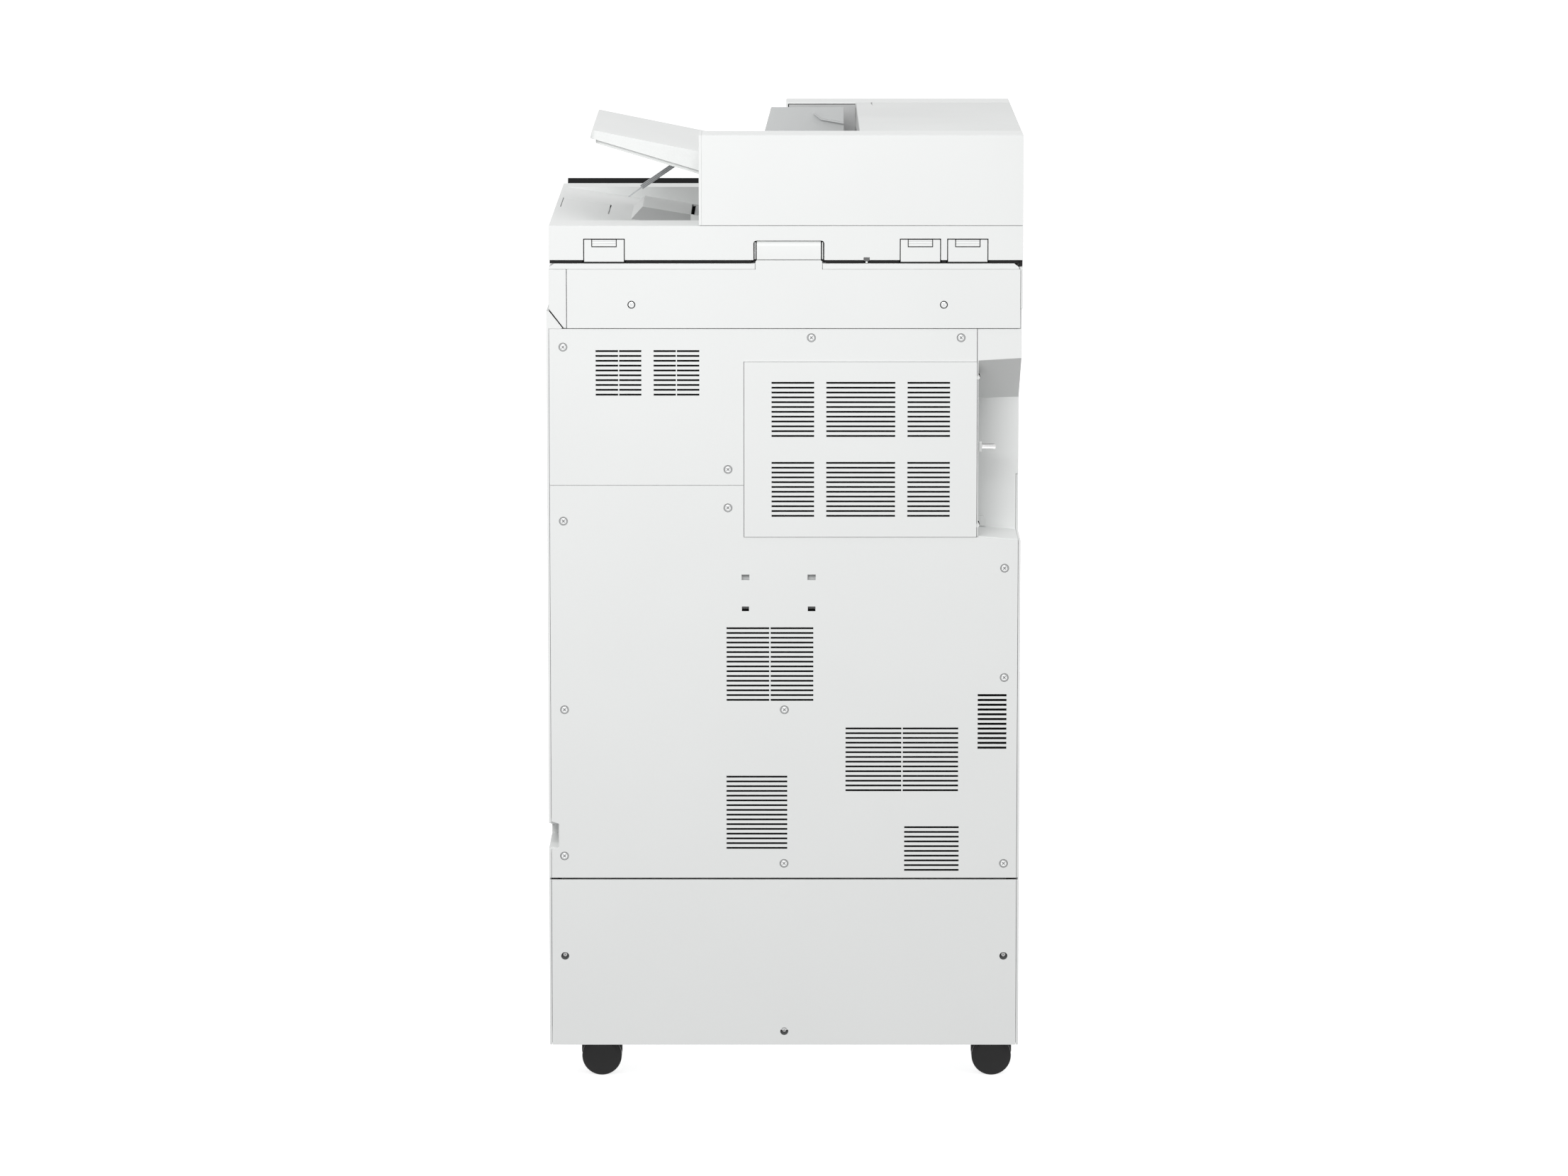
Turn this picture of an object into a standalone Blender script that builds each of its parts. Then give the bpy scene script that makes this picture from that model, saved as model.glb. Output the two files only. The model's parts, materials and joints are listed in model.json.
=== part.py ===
"""Floor-standing A3 multifunction photocopier on a castered pedestal.

Axes: +X is the operator's right, -Y is the operator's side (front), +Z is up.
Origin: centre of the footprint, at floor level.
Every dimension below is in millimetres; the helpers convert to metres.
"""
import math

import bmesh
import bpy
from mathutils import Vector

MM = 0.001

# ------------------------------------------------------------------ driving dimensions
REAR = 370.0            # rearmost plane (lid, reader, vent box)
FRONT = -270.0          # face of the drawers and of the front door
COVER_OUT = 368.8       # outer face of the sheet rear covers
COVER_IN = 366.0        # inner face of the sheet rear covers
SIDE_OUT = 294.0        # outer face of the side covers
SIDE_IN = 291.3         # inner face of the side covers
REAR_HALF = 290.8       # half width of the rear covers
FRAME_FRONT = -245.0    # front edge of the frames and side covers

SKIRT_Z = 50.2          # bottom edge of the pedestal covers
PED_TOP = 261.3         # top edge of the pedestal covers
BODY_BOT = 263.8        # bottom edge of the body covers
SEAM_Z = 759.8          # seam between lower and upper rear covers
READER_Z = 955.4        # underside of the image reader
FRAME_Z0, FRAME_Z1 = 1029.2, 1036.1     # platen frame
LID_Z0, LID_Z1 = 1040.4, 1082.8         # document cover
TOP_Z = 1195.0          # top of the document feeder

LID_X0, LID_X1 = -295.3, 290.7
LID_FRONT = -214.0
HINGE_Y, HINGE_Z = 369.5, 1038.4        # lid hinge line

VENT_X0, VENT_X1, VENT_Z0, VENT_Z1 = -239.0, 49.5, 695.0, 913.6
RECESS_X = -239.6       # inner side of the rear corner recess
RECESS_Y = 274.0        # back wall of the rear corner recess

WHEEL_R = 25.0
CASTER_X, CASTER_TRAIL = 246.2, 16.0
CASTER_YS = (304.0, -190.0)
FRAME_FLOOR = 68.0      # underside of the pedestal frame

LOUVRE_PITCH, LOUVRE_SLOT = 6.03, 2.35

TRAY_SLOPE = 0.2016     # rise of the original tray towards +X
TRAY_END = 239.0
TRAY_END_Z = 1190.0
TRAY_HINGE = (29.0, 1147.3)
FEED_HINGE = (-290.3, 1090.0)
FLAP_HINGE = (283.0, 1081.0)
ARM_HINGE = (122.5, 1134.5)
PANEL_HINGE = (-262.0, 1033.0)
PANEL_TILT = math.radians(42.0)
DOOR_HINGE = (-266.5, 468.5)
RDOOR_HINGE = (293.5, 196.5)
BYPASS_HINGE = (292.5, 502.5)


def tray_top(x):
    """Height of the original tray's upper face at x."""
    return TRAY_END_Z - (TRAY_END - x) * TRAY_SLOPE


def floor_top(x):
    """Height of the original output floor at x."""
    return max(1048.0, LID_Z1 - (286.0 - x) * 0.1548)


# ------------------------------------------------------------------ start from an empty file
for old in list(bpy.data.objects):
    bpy.data.objects.remove(old, do_unlink=True)

scene_objects = bpy.context.scene.collection.objects
pivots = {}


# ------------------------------------------------------------------ modelling helpers
def finish_vectors(bm):
    bmesh.ops.recalc_face_normals(bm, faces=bm.faces[:])


def block(bm, x0, x1, y0, y1, z0, z1):
    """A closed box, corner to corner."""
    made = bmesh.ops.create_cube(bm, size=1.0)["verts"]
    for v in made:
        v.co = Vector(((x0 if v.co.x < 0 else x1) * MM,
                       (y0 if v.co.y < 0 else y1) * MM,
                       (z0 if v.co.z < 0 else z1) * MM))


def prism(bm, pts, axis, a, b):
    """A closed polygon pushed along an axis.  pts are (y,z), (x,z) or (x,y)."""
    def place(p, t):
        if axis == "x":
            return Vector((t, p[0], p[1])) * MM
        if axis == "y":
            return Vector((p[0], t, p[1])) * MM
        return Vector((p[0], p[1], t)) * MM
    low = [bm.verts.new(place(p, a)) for p in pts]
    high = [bm.verts.new(place(p, b)) for p in pts]
    n = len(pts)
    bm.faces.new(low)
    bm.faces.new(high[::-1])
    for i in range(n):
        j = (i + 1) % n
        bm.faces.new((low[i], high[i], high[j], low[j]))


def loft(bm, low_pts, high_pts):
    """A closed solid between two loops of the same number of 3-D points."""
    low = [bm.verts.new(Vector(p) * MM) for p in low_pts]
    high = [bm.verts.new(Vector(p) * MM) for p in high_pts]
    n = len(low)
    bm.faces.new(low)
    bm.faces.new(high[::-1])
    for i in range(n):
        j = (i + 1) % n
        bm.faces.new((low[i], high[i], high[j], low[j]))


def circle(cx, cy, r, n, start=0.0):
    return [(cx + r * math.cos(start + 2 * math.pi * k / n),
             cy + r * math.sin(start + 2 * math.pi * k / n)) for k in range(n)]


def drum(bm, axis, c, a, b, r, n=24):
    """A closed cylinder; c is its centre in the plane across the axis."""
    prism(bm, circle(c[0], c[1], r, n), axis, a, b)


def rounded(x0, x1, y0, y1, radii, n=5):
    """Rectangle outline with its own corner radius at (x0y0, x1y0, x1y1, x0y1)."""
    out = []
    corners = ((x0, y0, 180), (x1, y0, 270), (x1, y1, 0), (x0, y1, 90))
    for (cx, cy, a0), r in zip(corners, radii):
        if r <= 0:
            out.append((cx, cy))
            continue
        mx = cx + r if cx == x0 else cx - r
        my = cy + r if cy == y0 else cy - r
        for k in range(n + 1):
            a = math.radians(a0 + 90 * k / n)
            out.append((mx + r * math.cos(a), my + r * math.sin(a)))
    return out


def louvres(bm, x0, x1, z_first, count, y0, y1, slot=LOUVRE_SLOT, pitch=LOUVRE_PITCH):
    """A column of slots; z_first is the middle of the highest one."""
    for k in range(count):
        z = z_first - k * pitch
        block(bm, x0, x1, y0, y1, z - slot / 2, z + slot / 2)


def material(name, rgb, rough, metal=0.0):
    m = bpy.data.materials.new(name)
    m.use_nodes = True
    p = m.node_tree.nodes["Principled BSDF"]
    p.inputs["Base Color"].default_value = (rgb[0], rgb[1], rgb[2], 1.0)
    p.inputs["Roughness"].default_value = rough
    p.inputs["Metallic"].default_value = metal
    m.diffuse_color = (rgb[0], rgb[1], rgb[2], 1.0)
    return m


SHELL = ((0.83, 0.84, 0.835), 0.5, 0.0)      # light cover plastic
INNER = ((0.60, 0.61, 0.61), 0.5, 0.0)       # grey inner plastic
DARK = ((0.03, 0.03, 0.033), 0.45, 0.0)      # black plastic
STEEL = ((0.55, 0.56, 0.57), 0.35, 1.0)      # zinc plated sheet
RUBBER = ((0.05, 0.05, 0.05), 0.8, 0.0)
GLASS = ((0.75, 0.85, 0.86), 0.05, 0.0)


def pivot(name, x, y, z, parent=None):
    """An empty on a joint's axis that carries the pieces of one moving body."""
    e = bpy.data.objects.new("axis_" + name, None)
    scene_objects.link(e)
    at = Vector((x, y, z)) * MM
    if parent:
        e.parent = pivots[parent][0]
        e.location = at - pivots[parent][1]
    else:
        e.location = at
    pivots[name] = (e, at)


def helper(name, draw):
    """A tool body for a Boolean: a guide, not a piece."""
    bm = bmesh.new()
    draw(bm)
    finish_vectors(bm)
    me = bpy.data.meshes.new(name)
    bm.to_mesh(me)
    bm.free()
    ob = bpy.data.objects.new(name, me)
    ob.hide_render = True
    ob.display_type = "WIRE"
    scene_objects.link(ob)
    return ob


def piece(name, draw, look, at=None, body=None, steps=(), smooth=False):
    """One closed solid.  steps are (operation, draw function) pairs."""
    bm = bmesh.new()
    draw(bm)
    finish_vectors(bm)
    if at is None:
        if body:
            origin = pivots[body][1]
        else:
            low = Vector([min(v.co[i] for v in bm.verts) for i in range(3)])
            high = Vector([max(v.co[i] for v in bm.verts) for i in range(3)])
            origin = (low + high) / 2
    else:
        origin = Vector(at) * MM
    bmesh.ops.translate(bm, verts=bm.verts[:], vec=-origin)
    me = bpy.data.meshes.new(name)
    bm.to_mesh(me)
    bm.free()
    if smooth:
        me.shade_smooth()
        me.set_sharp_from_angle(angle=math.radians(35))
    ob = bpy.data.objects.new(name, me)
    me.materials.append(material("mat_" + name, *look))
    scene_objects.link(ob)
    if body:
        ob.parent = pivots[body][0]
        ob.location = origin - pivots[body][1]
    else:
        ob.location = origin
    for k, (what, tool) in enumerate(steps):
        mod = ob.modifiers.new(what.lower() + str(k), "BOOLEAN")
        mod.operation = what
        mod.solver = "EXACT"
        mod.object = helper("tool_%s_%d" % (name, k), tool)
    return ob


CUT, JOIN, COMMON = "DIFFERENCE", "UNION", "INTERSECT"


# ================================================================== pedestal
# folded sheet: a wide floor plate that carries the casters, and a box open to the front
piece("pedestal_frame",
      lambda bm: block(bm, -279, 279, FRAME_FRONT, 348, FRAME_FLOOR, 261.2), STEEL, steps=[
          (JOIN, lambda bm: block(bm, -288, 288, FRAME_FRONT, 365, FRAME_FLOOR, 71)),
          (CUT, lambda bm: block(bm, -276, 276, -300, 345, 71, 258.5))])

PED_HOLES = ((274.5, 163.8), (-275.2, 163.8), (-0.3, 67.2))


def ped_holes(bm):
    for x, z in PED_HOLES:
        drum(bm, "y", (x, z), 350, 380, 5.1, 16)


piece("pedestal_rear_cover",
      lambda bm: block(bm, -REAR_HALF, REAR_HALF, COVER_IN, COVER_OUT, SKIRT_Z, PED_TOP),
      SHELL, steps=[(CUT, ped_holes)])
piece("pedestal_left_cover",
      lambda bm: block(bm, -SIDE_OUT, -SIDE_IN, FRAME_FRONT, COVER_OUT, SKIRT_Z, PED_TOP), SHELL)
piece("pedestal_right_cover",
      lambda bm: block(bm, SIDE_IN, SIDE_OUT, FRAME_FRONT, COVER_OUT, SKIRT_Z, PED_TOP), SHELL)


# ------------------------------------------------------------------ paper drawers
def drawer(name, z_front0, z_front1, z_tray0, z_tray1, half, depth_y, pull_z):
    """Front panel with a finger recess, and the open paper tray behind it."""
    pivot(name, 0, FRONT, z_front0)

    def front(bm):
        block(bm, -SIDE_OUT, SIDE_OUT, FRONT, -246.5, z_front0, z_front1)

    def tray(bm):
        block(bm, -half, half, -248, depth_y, z_tray0, z_tray1)

    def inside(bm):
        block(bm, -half + 3, half - 3, -243.5, depth_y - 3, z_tray0 + 3, z_tray1 + 20)

    def recess(bm):
        # scoop with a slanted roof, for the fingers
        prism(bm, [(FRONT - 5, pull_z), (FRONT + 15, pull_z + 3), (FRONT + 15, pull_z + 30),
                   (FRONT - 5, pull_z + 25)], "x", -72, 72)

    piece(name, front, SHELL, body=name, steps=[(JOIN, tray), (CUT, inside), (CUT, recess)])


drawer("cassette_1", 364.0, 462.6, 370.0, 440.0, 260, 322, 395)
drawer("cassette_2", 264.2, 362.2, 276.0, 346.0, 260, 322, 295)
drawer("cassette_3", 53.5, 261.4, 78.0, 232.0, 268, 332, 188)


# ================================================================== casters
def caster(tag, cx, cy):
    pivot("swivel_" + tag, cx, cy, 60)
    wx = cx - CASTER_TRAIL

    def hood(bm):
        # middle web: round below, square above, between the two wheels
        pts = [(wx + 25.6, 58.0), (wx - 25.6, 58.0), (wx - 25.6, 29.0)]
        for k in range(1, 12):
            a = math.pi + math.pi * k / 12
            pts.append((wx + 24.2 * math.cos(a), 25.0 + 22.0 * math.sin(a)))
        pts.append((wx + 25.6, 29.0))
        prism(bm, pts, "y", cy - 3.8, cy + 3.8)

    def roof(bm):
        block(bm, wx - 21, wx + 23, cy - 15.5, cy + 15.5, 52.0, 60.0)

    def stem(bm):
        drum(bm, "z", (cx, cy), 56.0, 67.6, 16.0, 20)

    def bore(bm):
        drum(bm, "y", (wx, WHEEL_R), cy - 10, cy + 10, 4.6, 12)

    piece("caster_fork_" + tag, hood, DARK, body="swivel_" + tag,
          steps=[(JOIN, roof), (JOIN, stem), (CUT, bore)])
    pivot("wheel_" + tag, wx, cy, WHEEL_R, parent="swivel_" + tag)

    def wheels(bm):
        # turned profile of the twin wheels and their common axle, spun about Y
        profile = [(-17.0, 0), (-17.0, 22.0), (-15.2, 24.4), (-13.5, WHEEL_R), (-4.8, WHEEL_R),
                   (-4.8, 4.0), (4.8, 4.0), (4.8, WHEEL_R), (13.5, WHEEL_R), (15.2, 24.4),
                   (17.0, 22.0), (17.0, 0)]
        n = 32
        rings = []
        for y, r in profile:
            if r == 0:
                rings.append([bm.verts.new(Vector((wx, cy + y, WHEEL_R)) * MM)])
            else:
                rings.append([bm.verts.new(Vector((wx + r * math.cos(2 * math.pi * k / n), cy + y,
                                                   WHEEL_R + r * math.sin(2 * math.pi * k / n))) * MM)
                              for k in range(n)])
        for a, b in zip(rings, rings[1:]):
            for k in range(n):
                j = (k + 1) % n
                if len(a) == 1:
                    bm.faces.new((a[0], b[k], b[j]))
                elif len(b) == 1:
                    bm.faces.new((a[k], b[0], a[j]))
                else:
                    bm.faces.new((a[k], b[k], b[j], a[j]))

    piece("caster_wheel_" + tag, wheels, RUBBER, body="wheel_" + tag, smooth=True)


caster("rear_right", CASTER_X, CASTER_YS[0])
caster("rear_left", -CASTER_X + 0.1, CASTER_YS[0])
caster("front_right", CASTER_X, CASTER_YS[1])
caster("front_left", -CASTER_X + 0.1, CASTER_YS[1])


# ================================================================== main frame
def draw(bm):
    block(bm, -273, 273, FRAME_FRONT, 341, 267, 687)


def bays(bm):
    block(bm, -270, 270, -300, 338, 270, 360)      # lower cassette
    block(bm, -270, 270, -300, 338, 363, 460)      # upper cassette
    block(bm, -270, 270, -300, 338, 463, 684)      # print engine


piece("main_frame", draw, STEEL, steps=[
    (CUT, bays),
    (CUT, lambda bm: block(bm, 260, 300, -150, 150, 476, 672)),      # paper path behind the right door
    (JOIN, lambda bm: block(bm, -237.5, 285, 267.5, 348, 685, 954.8)),
    (CUT, lambda bm: block(bm, -234.5, 282, 270.5, 400, 690, 951.8)),  # electronics box, open to the rear
    (JOIN, lambda bm: block(bm, -273, 273, 340, 365, 264.5, 268)),     # lower flange behind the rear cover
])

# ------------------------------------------------------------------ rear covers


def lower_outline(bm):
    prism(bm, [(290.8, BODY_BOT), (290.8, 299.6), (283.0, 301.8), (281.0, 303.6), (281.0, 331.2),
               (282.6, 333.1), (290.8, 335.4), (290.8, SEAM_Z - 0.4), (50.1, SEAM_Z - 0.4),
               (50.1, 694.4), (-239.9, 694.4), (-290.8, 691.0), (-290.8, BODY_BOT)],
          "y", COVER_IN, COVER_OUT)


def lower_slots(bm):
    a, b = 360, 375
    louvres(bm, 18.4, 71.6, 580.1, 16, a, b)
    louvres(bm, -36.6, 16.7, 580.1, 16, a, b)
    louvres(bm, -4.1, 71.9, 392.3, 16, a, b)
    louvres(bm, -146.6, -76.8, 453.5, 14, a, b)
    louvres(bm, -217.5, -148.2, 453.5, 14, a, b)
    louvres(bm, -218.5, -150.3, 328.1, 10, a, b)
    louvres(bm, -277.6, -241.6, 495.5, 12, a, b, slot=2.85)
    for x0, x1, z0, z1 in ((43.1, 52.7, 640.7, 647.7), (-39.4, -29.3, 640.7, 647.7),
                           (43.6, 52.4, 601.4, 607.5), (-39.1, -29.6, 601.4, 607.5)):
        block(bm, x0, x1, a, b, z0, z1)


piece("rear_lower_cover", lower_outline, SHELL, steps=[(CUT, lower_slots)])


def upper_outline(bm):
    prism(bm, [(290.8, SEAM_Z + 0.1), (290.8, 954.9), (-238.9, 954.9), (-238.9, 914.0),
               (50.1, 914.0), (50.1, SEAM_Z + 0.1)], "y", COVER_IN, COVER_OUT)


def upper_slots(bm):
    for x0, x1 in ((205.4, 233.3), (176.6, 204.1), (133.9, 161.5), (104.8, 132.6)):
        louvres(bm, x0, x1, 927.3, 10, 360, 375)


piece("rear_upper_cover", upper_outline, SHELL, steps=[(CUT, upper_slots)])


def vent_slots(bm):
    for x0, x1 in ((-37.4, 15.5), (-137.9, -52.4), (-205.8, -153.0)):
        louvres(bm, x0, x1, 887.9, 12, 360, 375)
        louvres(bm, x0, x1, 787.9, 12, 360, 375)


piece("rear_vent_cover",
      lambda bm: block(bm, VENT_X0, VENT_X1, 350, REAR, VENT_Z0, VENT_Z1), SHELL, steps=[
          (CUT, lambda bm: block(bm, VENT_X0 + 2.5, VENT_X1 - 2.5, 340, REAR - 2.5,
                                 VENT_Z0 + 2.5, VENT_Z1 - 2.5)),
          (CUT, vent_slots)])


# ------------------------------------------------------------------ rear corner recess
def corner_pocket(bm):
    # vertical back wall, roof rising to the rear, floor falling gently outwards
    def loop(x, floor, back, front):
        return [(x, RECESS_Y, floor), (x, RECESS_Y, back), (x, 372.0, front), (x, 372.0, floor)]
    loft(bm, loop(-310.0, 690.1, 859.6, 921.5), loop(-240.9, 695.4, 857.4, 917.5))


piece("corner_cover",
      lambda bm: block(bm, -SIDE_OUT, RECESS_X, 266, COVER_OUT, 688.8, 954.9), SHELL, steps=[
          (CUT, corner_pocket),
          # the left cover laps over these two strips
          (CUT, lambda bm: block(bm, -310, -291.0, 250, 274.6, 680, 761.6)),
          (CUT, lambda bm: block(bm, -310, -291.0, 274, 380, 680, 691.7)),
          (CUT, lambda bm: block(bm, -310, -230, 365.5, 380, 680, 696.0))])


def left_outline(bm):
    prism(bm, [(FRAME_FRONT, BODY_BOT), (COVER_OUT, BODY_BOT), (COVER_OUT, 691.0), (273.6, 691.0),
               (273.6, 761.0), (FRAME_FRONT, 761.0)], "x", -SIDE_OUT, -SIDE_IN)


piece("left_cover", left_outline, SHELL, steps=[
    (CUT, lambda bm: block(bm, -310, -280, 298, 337, 288, 318))])
piece("power_inlet", lambda bm: block(bm, -293.6, -280, 298.6, 336.4, 288.6, 317.4), DARK, steps=[
    (CUT, lambda bm: block(bm, -300, -283, 304, 331, 294, 312))])


# ------------------------------------------------------------------ right side
def right_outline(bm):
    prism(bm, [(FRAME_FRONT, BODY_BOT), (COVER_OUT, BODY_BOT), (COVER_OUT, 954.9),
               (FRAME_FRONT, 954.9), (FRAME_FRONT, 691.2), (199.6, 691.2), (199.6, 463.4),
               (FRAME_FRONT, 463.4)], "x", SIDE_IN, SIDE_OUT)


def grip_pocket(bm):
    prism(bm, [(380, 302.0), (380, 334.6), (COVER_OUT, 334.0), (254, 310.6), (254, 299.6)],
          "x", 282.0, 310)


piece("right_cover", right_outline, SHELL, steps=[
    (JOIN, lambda bm: block(bm, 279.4, 292.5, 249, 365.5, 294.5, 340)),
    (JOIN, lambda bm: prism(bm, [(SIDE_OUT, 950), (SIDE_OUT, 976.8), (290.6, 976.8), (274.2, 956.0),
                                 (284, 950)], "y", 200, COVER_OUT)),
    (CUT, lambda bm: block(bm, 270, 291.2, 190, 380, 945, 955.2)),
    (CUT, grip_pocket)])

pivot("right_door", RDOOR_HINGE[0], RDOOR_HINGE[1], 577)


def door_panel(bm):
    block(bm, 289, SIDE_OUT, FRAME_FRONT, 198.5, 464.2, 690.2)


piece("right_door", door_panel, SHELL, body="right_door", steps=[
    (CUT, lambda bm: block(bm, 280, 300, -171, 131, 497.5, 661)),
    (JOIN, lambda bm: block(bm, 293, 295.3, -232, -214, 548, 606))])
pivot("bypass_tray", BYPASS_HINGE[0], -20, BYPASS_HINGE[1], parent="right_door")
piece("bypass_tray", lambda bm: block(bm, 289.2, 293.8, -170, 130, 500, 660.4), SHELL,
      body="bypass_tray",
      steps=[(CUT, lambda bm: block(bm, 291.4, 300, -52, 12, 640, 652))])


# ================================================================== delivery space
def delivery_outline(bm):
    prism(bm, [(-290.8, 690.4), (104.5, 690.4), (104.5, 706), (60, 706), (-230, 764),
               (-290.8, 764)], "y", FRONT, 265.4)


piece("delivery_tray", delivery_outline, INNER, steps=[
    (CUT, lambda bm: prism(bm, [(-287.8, 680), (101.5, 680), (101.5, 703), (59.6, 703),
                                (-230.4, 761), (-287.8, 761)], "y", FRONT + 3, 262.4)),
    (JOIN, lambda bm: block(bm, -SIDE_OUT, -289, FRONT, -246, 690.4, 764))])

piece("exit_housing", lambda bm: block(bm, 105.4, 288, -250, 265.4, 690.4, 954.8), INNER, steps=[
    (JOIN, lambda bm: block(bm, 105.4, SIDE_OUT, FRONT, -246, 692, 954.8)),
    (CUT, lambda bm: block(bm, 108.4, 300, -242, 262.4, 693.4, 951.8)),
    (CUT, lambda bm: block(bm, 100, 120, -165, 175, 742, 768))])

pivot("fixing_roller", 205, 5, 752)
piece("fixing_roller", lambda bm: drum(bm, "y", (205, 752), -160, 170, 18, 20), RUBBER,
      body="fixing_roller", smooth=True,
      steps=[(JOIN, lambda bm: drum(bm, "y", (205, 752), -190, 200, 6, 12))])

# ------------------------------------------------------------------ print engine behind the front door
piece("inner_cover", lambda bm: block(bm, -269, 269, -244.5, -241.5, 466, 683), INNER, steps=[
    (CUT, lambda bm: drum(bm, "y", (-150, 610), -250, -230, 47, 24)),
    (CUT, lambda bm: block(bm, -62, 152, -250, -230, 548, 640))])
piece("toner_bottle", lambda bm: drum(bm, "y", (-150, 610), -258, 130, 44, 24), DARK, smooth=True)


def drum_case(bm):
    prism(bm, [(-58, 552), (148, 552), (148, 600), (120, 636), (-30, 636), (-58, 600)],
          "y", -252, 300)


piece("drum_unit", drum_case, DARK)
piece("laser_unit", lambda bm: block(bm, -180, 180, -120, 240, 472, 530), DARK)

pivot("front_door", 0, DOOR_HINGE[0], DOOR_HINGE[1])
piece("front_door", lambda bm: block(bm, -SIDE_OUT, SIDE_OUT, FRONT, -248, 465.2, 689.2), SHELL,
      body="front_door", steps=[
          (CUT, lambda bm: block(bm, -290.5, 290.5, FRONT + 3.5, -240, 468.7, 685.7)),
          (JOIN, lambda bm: block(bm, -66, 66, FRONT + 2, -251, 651, 687)),
          # scoop with a slanted roof, for the fingers
          (CUT, lambda bm: prism(bm, [(FRONT - 5, 655), (FRONT + 15, 658), (FRONT + 15, 683),
                                      (FRONT - 5, 678)], "x", -60, 60))])


# ================================================================== image reader
def reader_tub(bm):
    block(bm, -290.5, 269.0, -225, 365.8, 955.7, 1028.8)


piece("reader_base", reader_tub, SHELL, steps=[
    (JOIN, lambda bm: block(bm, -295.1, -288, -205, 365, 980, 1028.8)),
    (JOIN, lambda bm: block(bm, -293.8, -288, -205, 365, 955.7, 981)),
    (JOIN, lambda bm: block(bm, -295.1, -292.8, 355, 368.6, 980, 1028.8)),
    (JOIN, lambda bm: block(bm, -295.1, -291.3, -205, 365, 1020, 1032)),
    (JOIN, lambda bm: block(bm, 95, 175, -285, -223, 985, 1021)),
    (CUT, lambda bm: block(bm, -287.5, 266, -222, 362.8, 959, 1060))])
piece("reader_side_cover",
      lambda bm: prism(bm, [(291.1, 980.0), (291.1, 1028.8), (269.2, 1028.8), (269.2, 955.9),
                            (272.4, 955.9)], "y", -225, REAR), SHELL)


def reader_rear(bm):
    tab = [(35.2, 1028.9), (35.2, 1038.6), (33.6, 1040.2), (-45.5, 1040.2), (-47.1, 1038.6),
           (-47.1, 1028.9)]
    prism(bm, [(268.3, 955.9), (268.3, 1028.9)] + tab + [(-292.2, 1028.9), (-292.2, 955.9)],
          "y", 366.4, REAR)


piece("reader_rear_cover", reader_rear, SHELL)


piece("platen_frame",
      lambda bm: block(bm, -290.5, 290.5, -225, 369.6, FRAME_Z0, FRAME_Z1), SHELL, steps=[
          (CUT, lambda bm: block(bm, -185, 240, -125, 170, 1020, 1033)),
          (CUT, lambda bm: block(bm, -190.5, 245.5, -130.5, 175.5, 1032, 1040)),
          (CUT, lambda bm: block(bm, -237, -218, -125, 170, 1020, 1033)),
          (CUT, lambda bm: block(bm, -240.5, -214.5, -130.5, 175.5, 1032, 1040)),
          (CUT, lambda bm: block(bm, -48, 36.1, 366, 380, 1020, 1040))])
piece("platen_glass", lambda bm: block(bm, -190, 245, -130, 175, 1032.3, FRAME_Z1 - 0.1), GLASS)
piece("scan_glass", lambda bm: block(bm, -240, -215, -130, 175, 1032.3, FRAME_Z1 - 0.1), GLASS)

pivot("scan_carriage", -226, 20, 1005)
piece("scan_carriage", lambda bm: block(bm, -250, -202, -180, 230, 988, 1020), DARK,
      body="scan_carriage",
      steps=[(CUT, lambda bm: block(bm, -229, -223, -125, 170, 1000, 1030))])


def cable_hump(bm):
    pts = [(342, 1036.5), (364, 1036.5), (364, 1040.9), (369.7, 1040.9), (369.7, 1057.5)]
    for k in range(1, 6):
        a = math.radians(90 * k / 6)
        pts.append((363.1 + 6.6 * math.cos(a), 1057.5 + 6.6 * math.sin(a)))
    pts += [(363.1, 1064.1), (342, 1064.1)]
    prism(bm, pts, "x", -45.6, 33.8)


piece("cable_cover", cable_hump, SHELL)

piece("docking_pin", lambda bm: block(bm, -246.0, -241.2, 343, 357, 799.4, 812.6), SHELL, steps=[
    (JOIN, lambda bm: drum(bm, "x", (350, 806.1), -263, -244, 3.7, 12))])


# ================================================================== document cover and feeder
pivot("lid", 0, HINGE_Y, HINGE_Z)

HINGES = (("hinge_left", 196.6, 247.9), ("hinge_mid", -193.9, -143.0), ("hinge_right", -252.4, -201.5))


def lid_slab(bm):
    block(bm, LID_X0, LID_X1, LID_FRONT, REAR, LID_Z0, LID_Z1)


def output_floor(bm):
    # sloping floor of the output tray, ending level near the feeder
    prism(bm, [(62.0, floor_top(62.0)), (-130, floor_top(62.0)), (-130, 1100), (297.5, 1100),
               (297.5, floor_top(297.5))], "y", -160, 297)


def hump(bm):
    top = [(180, -41, 1082.3), (180, 108, 1082.3), (-20, 108, 1049.0), (-20, -41, 1049.0)]
    low = [(218, -59.4, 1046), (218, 174.5, 1046), (-20, 112.7, 1046), (-20, -42.3, 1046)]
    loft(bm, low, top)


def hinge_pockets(bm):
    for _, x0, x1 in HINGES:
        block(bm, x0, x1, 345.5, 380, 1030, 1067.0)


def arch(bm):
    # the rear edge steps over the cable cover, with rounded upper corners
    pts = [(37.7, 1030), (37.7, 1061.5), (36.8, 1063.6), (34.7, 1064.5), (-46.7, 1064.5),
           (-48.8, 1063.6), (-49.7, 1061.5), (-49.7, 1030)]
    prism(bm, pts, "y", 325, 380)


def flap_pocket(bm):
    prism(bm, [(284.8, floor_top(284.8) + 3), (284.8, floor_top(284.8) - 3.6),
               (222.4, floor_top(222.4) - 3.6), (222.4, floor_top(222.4) + 3)], "y", -16, 113)


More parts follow.
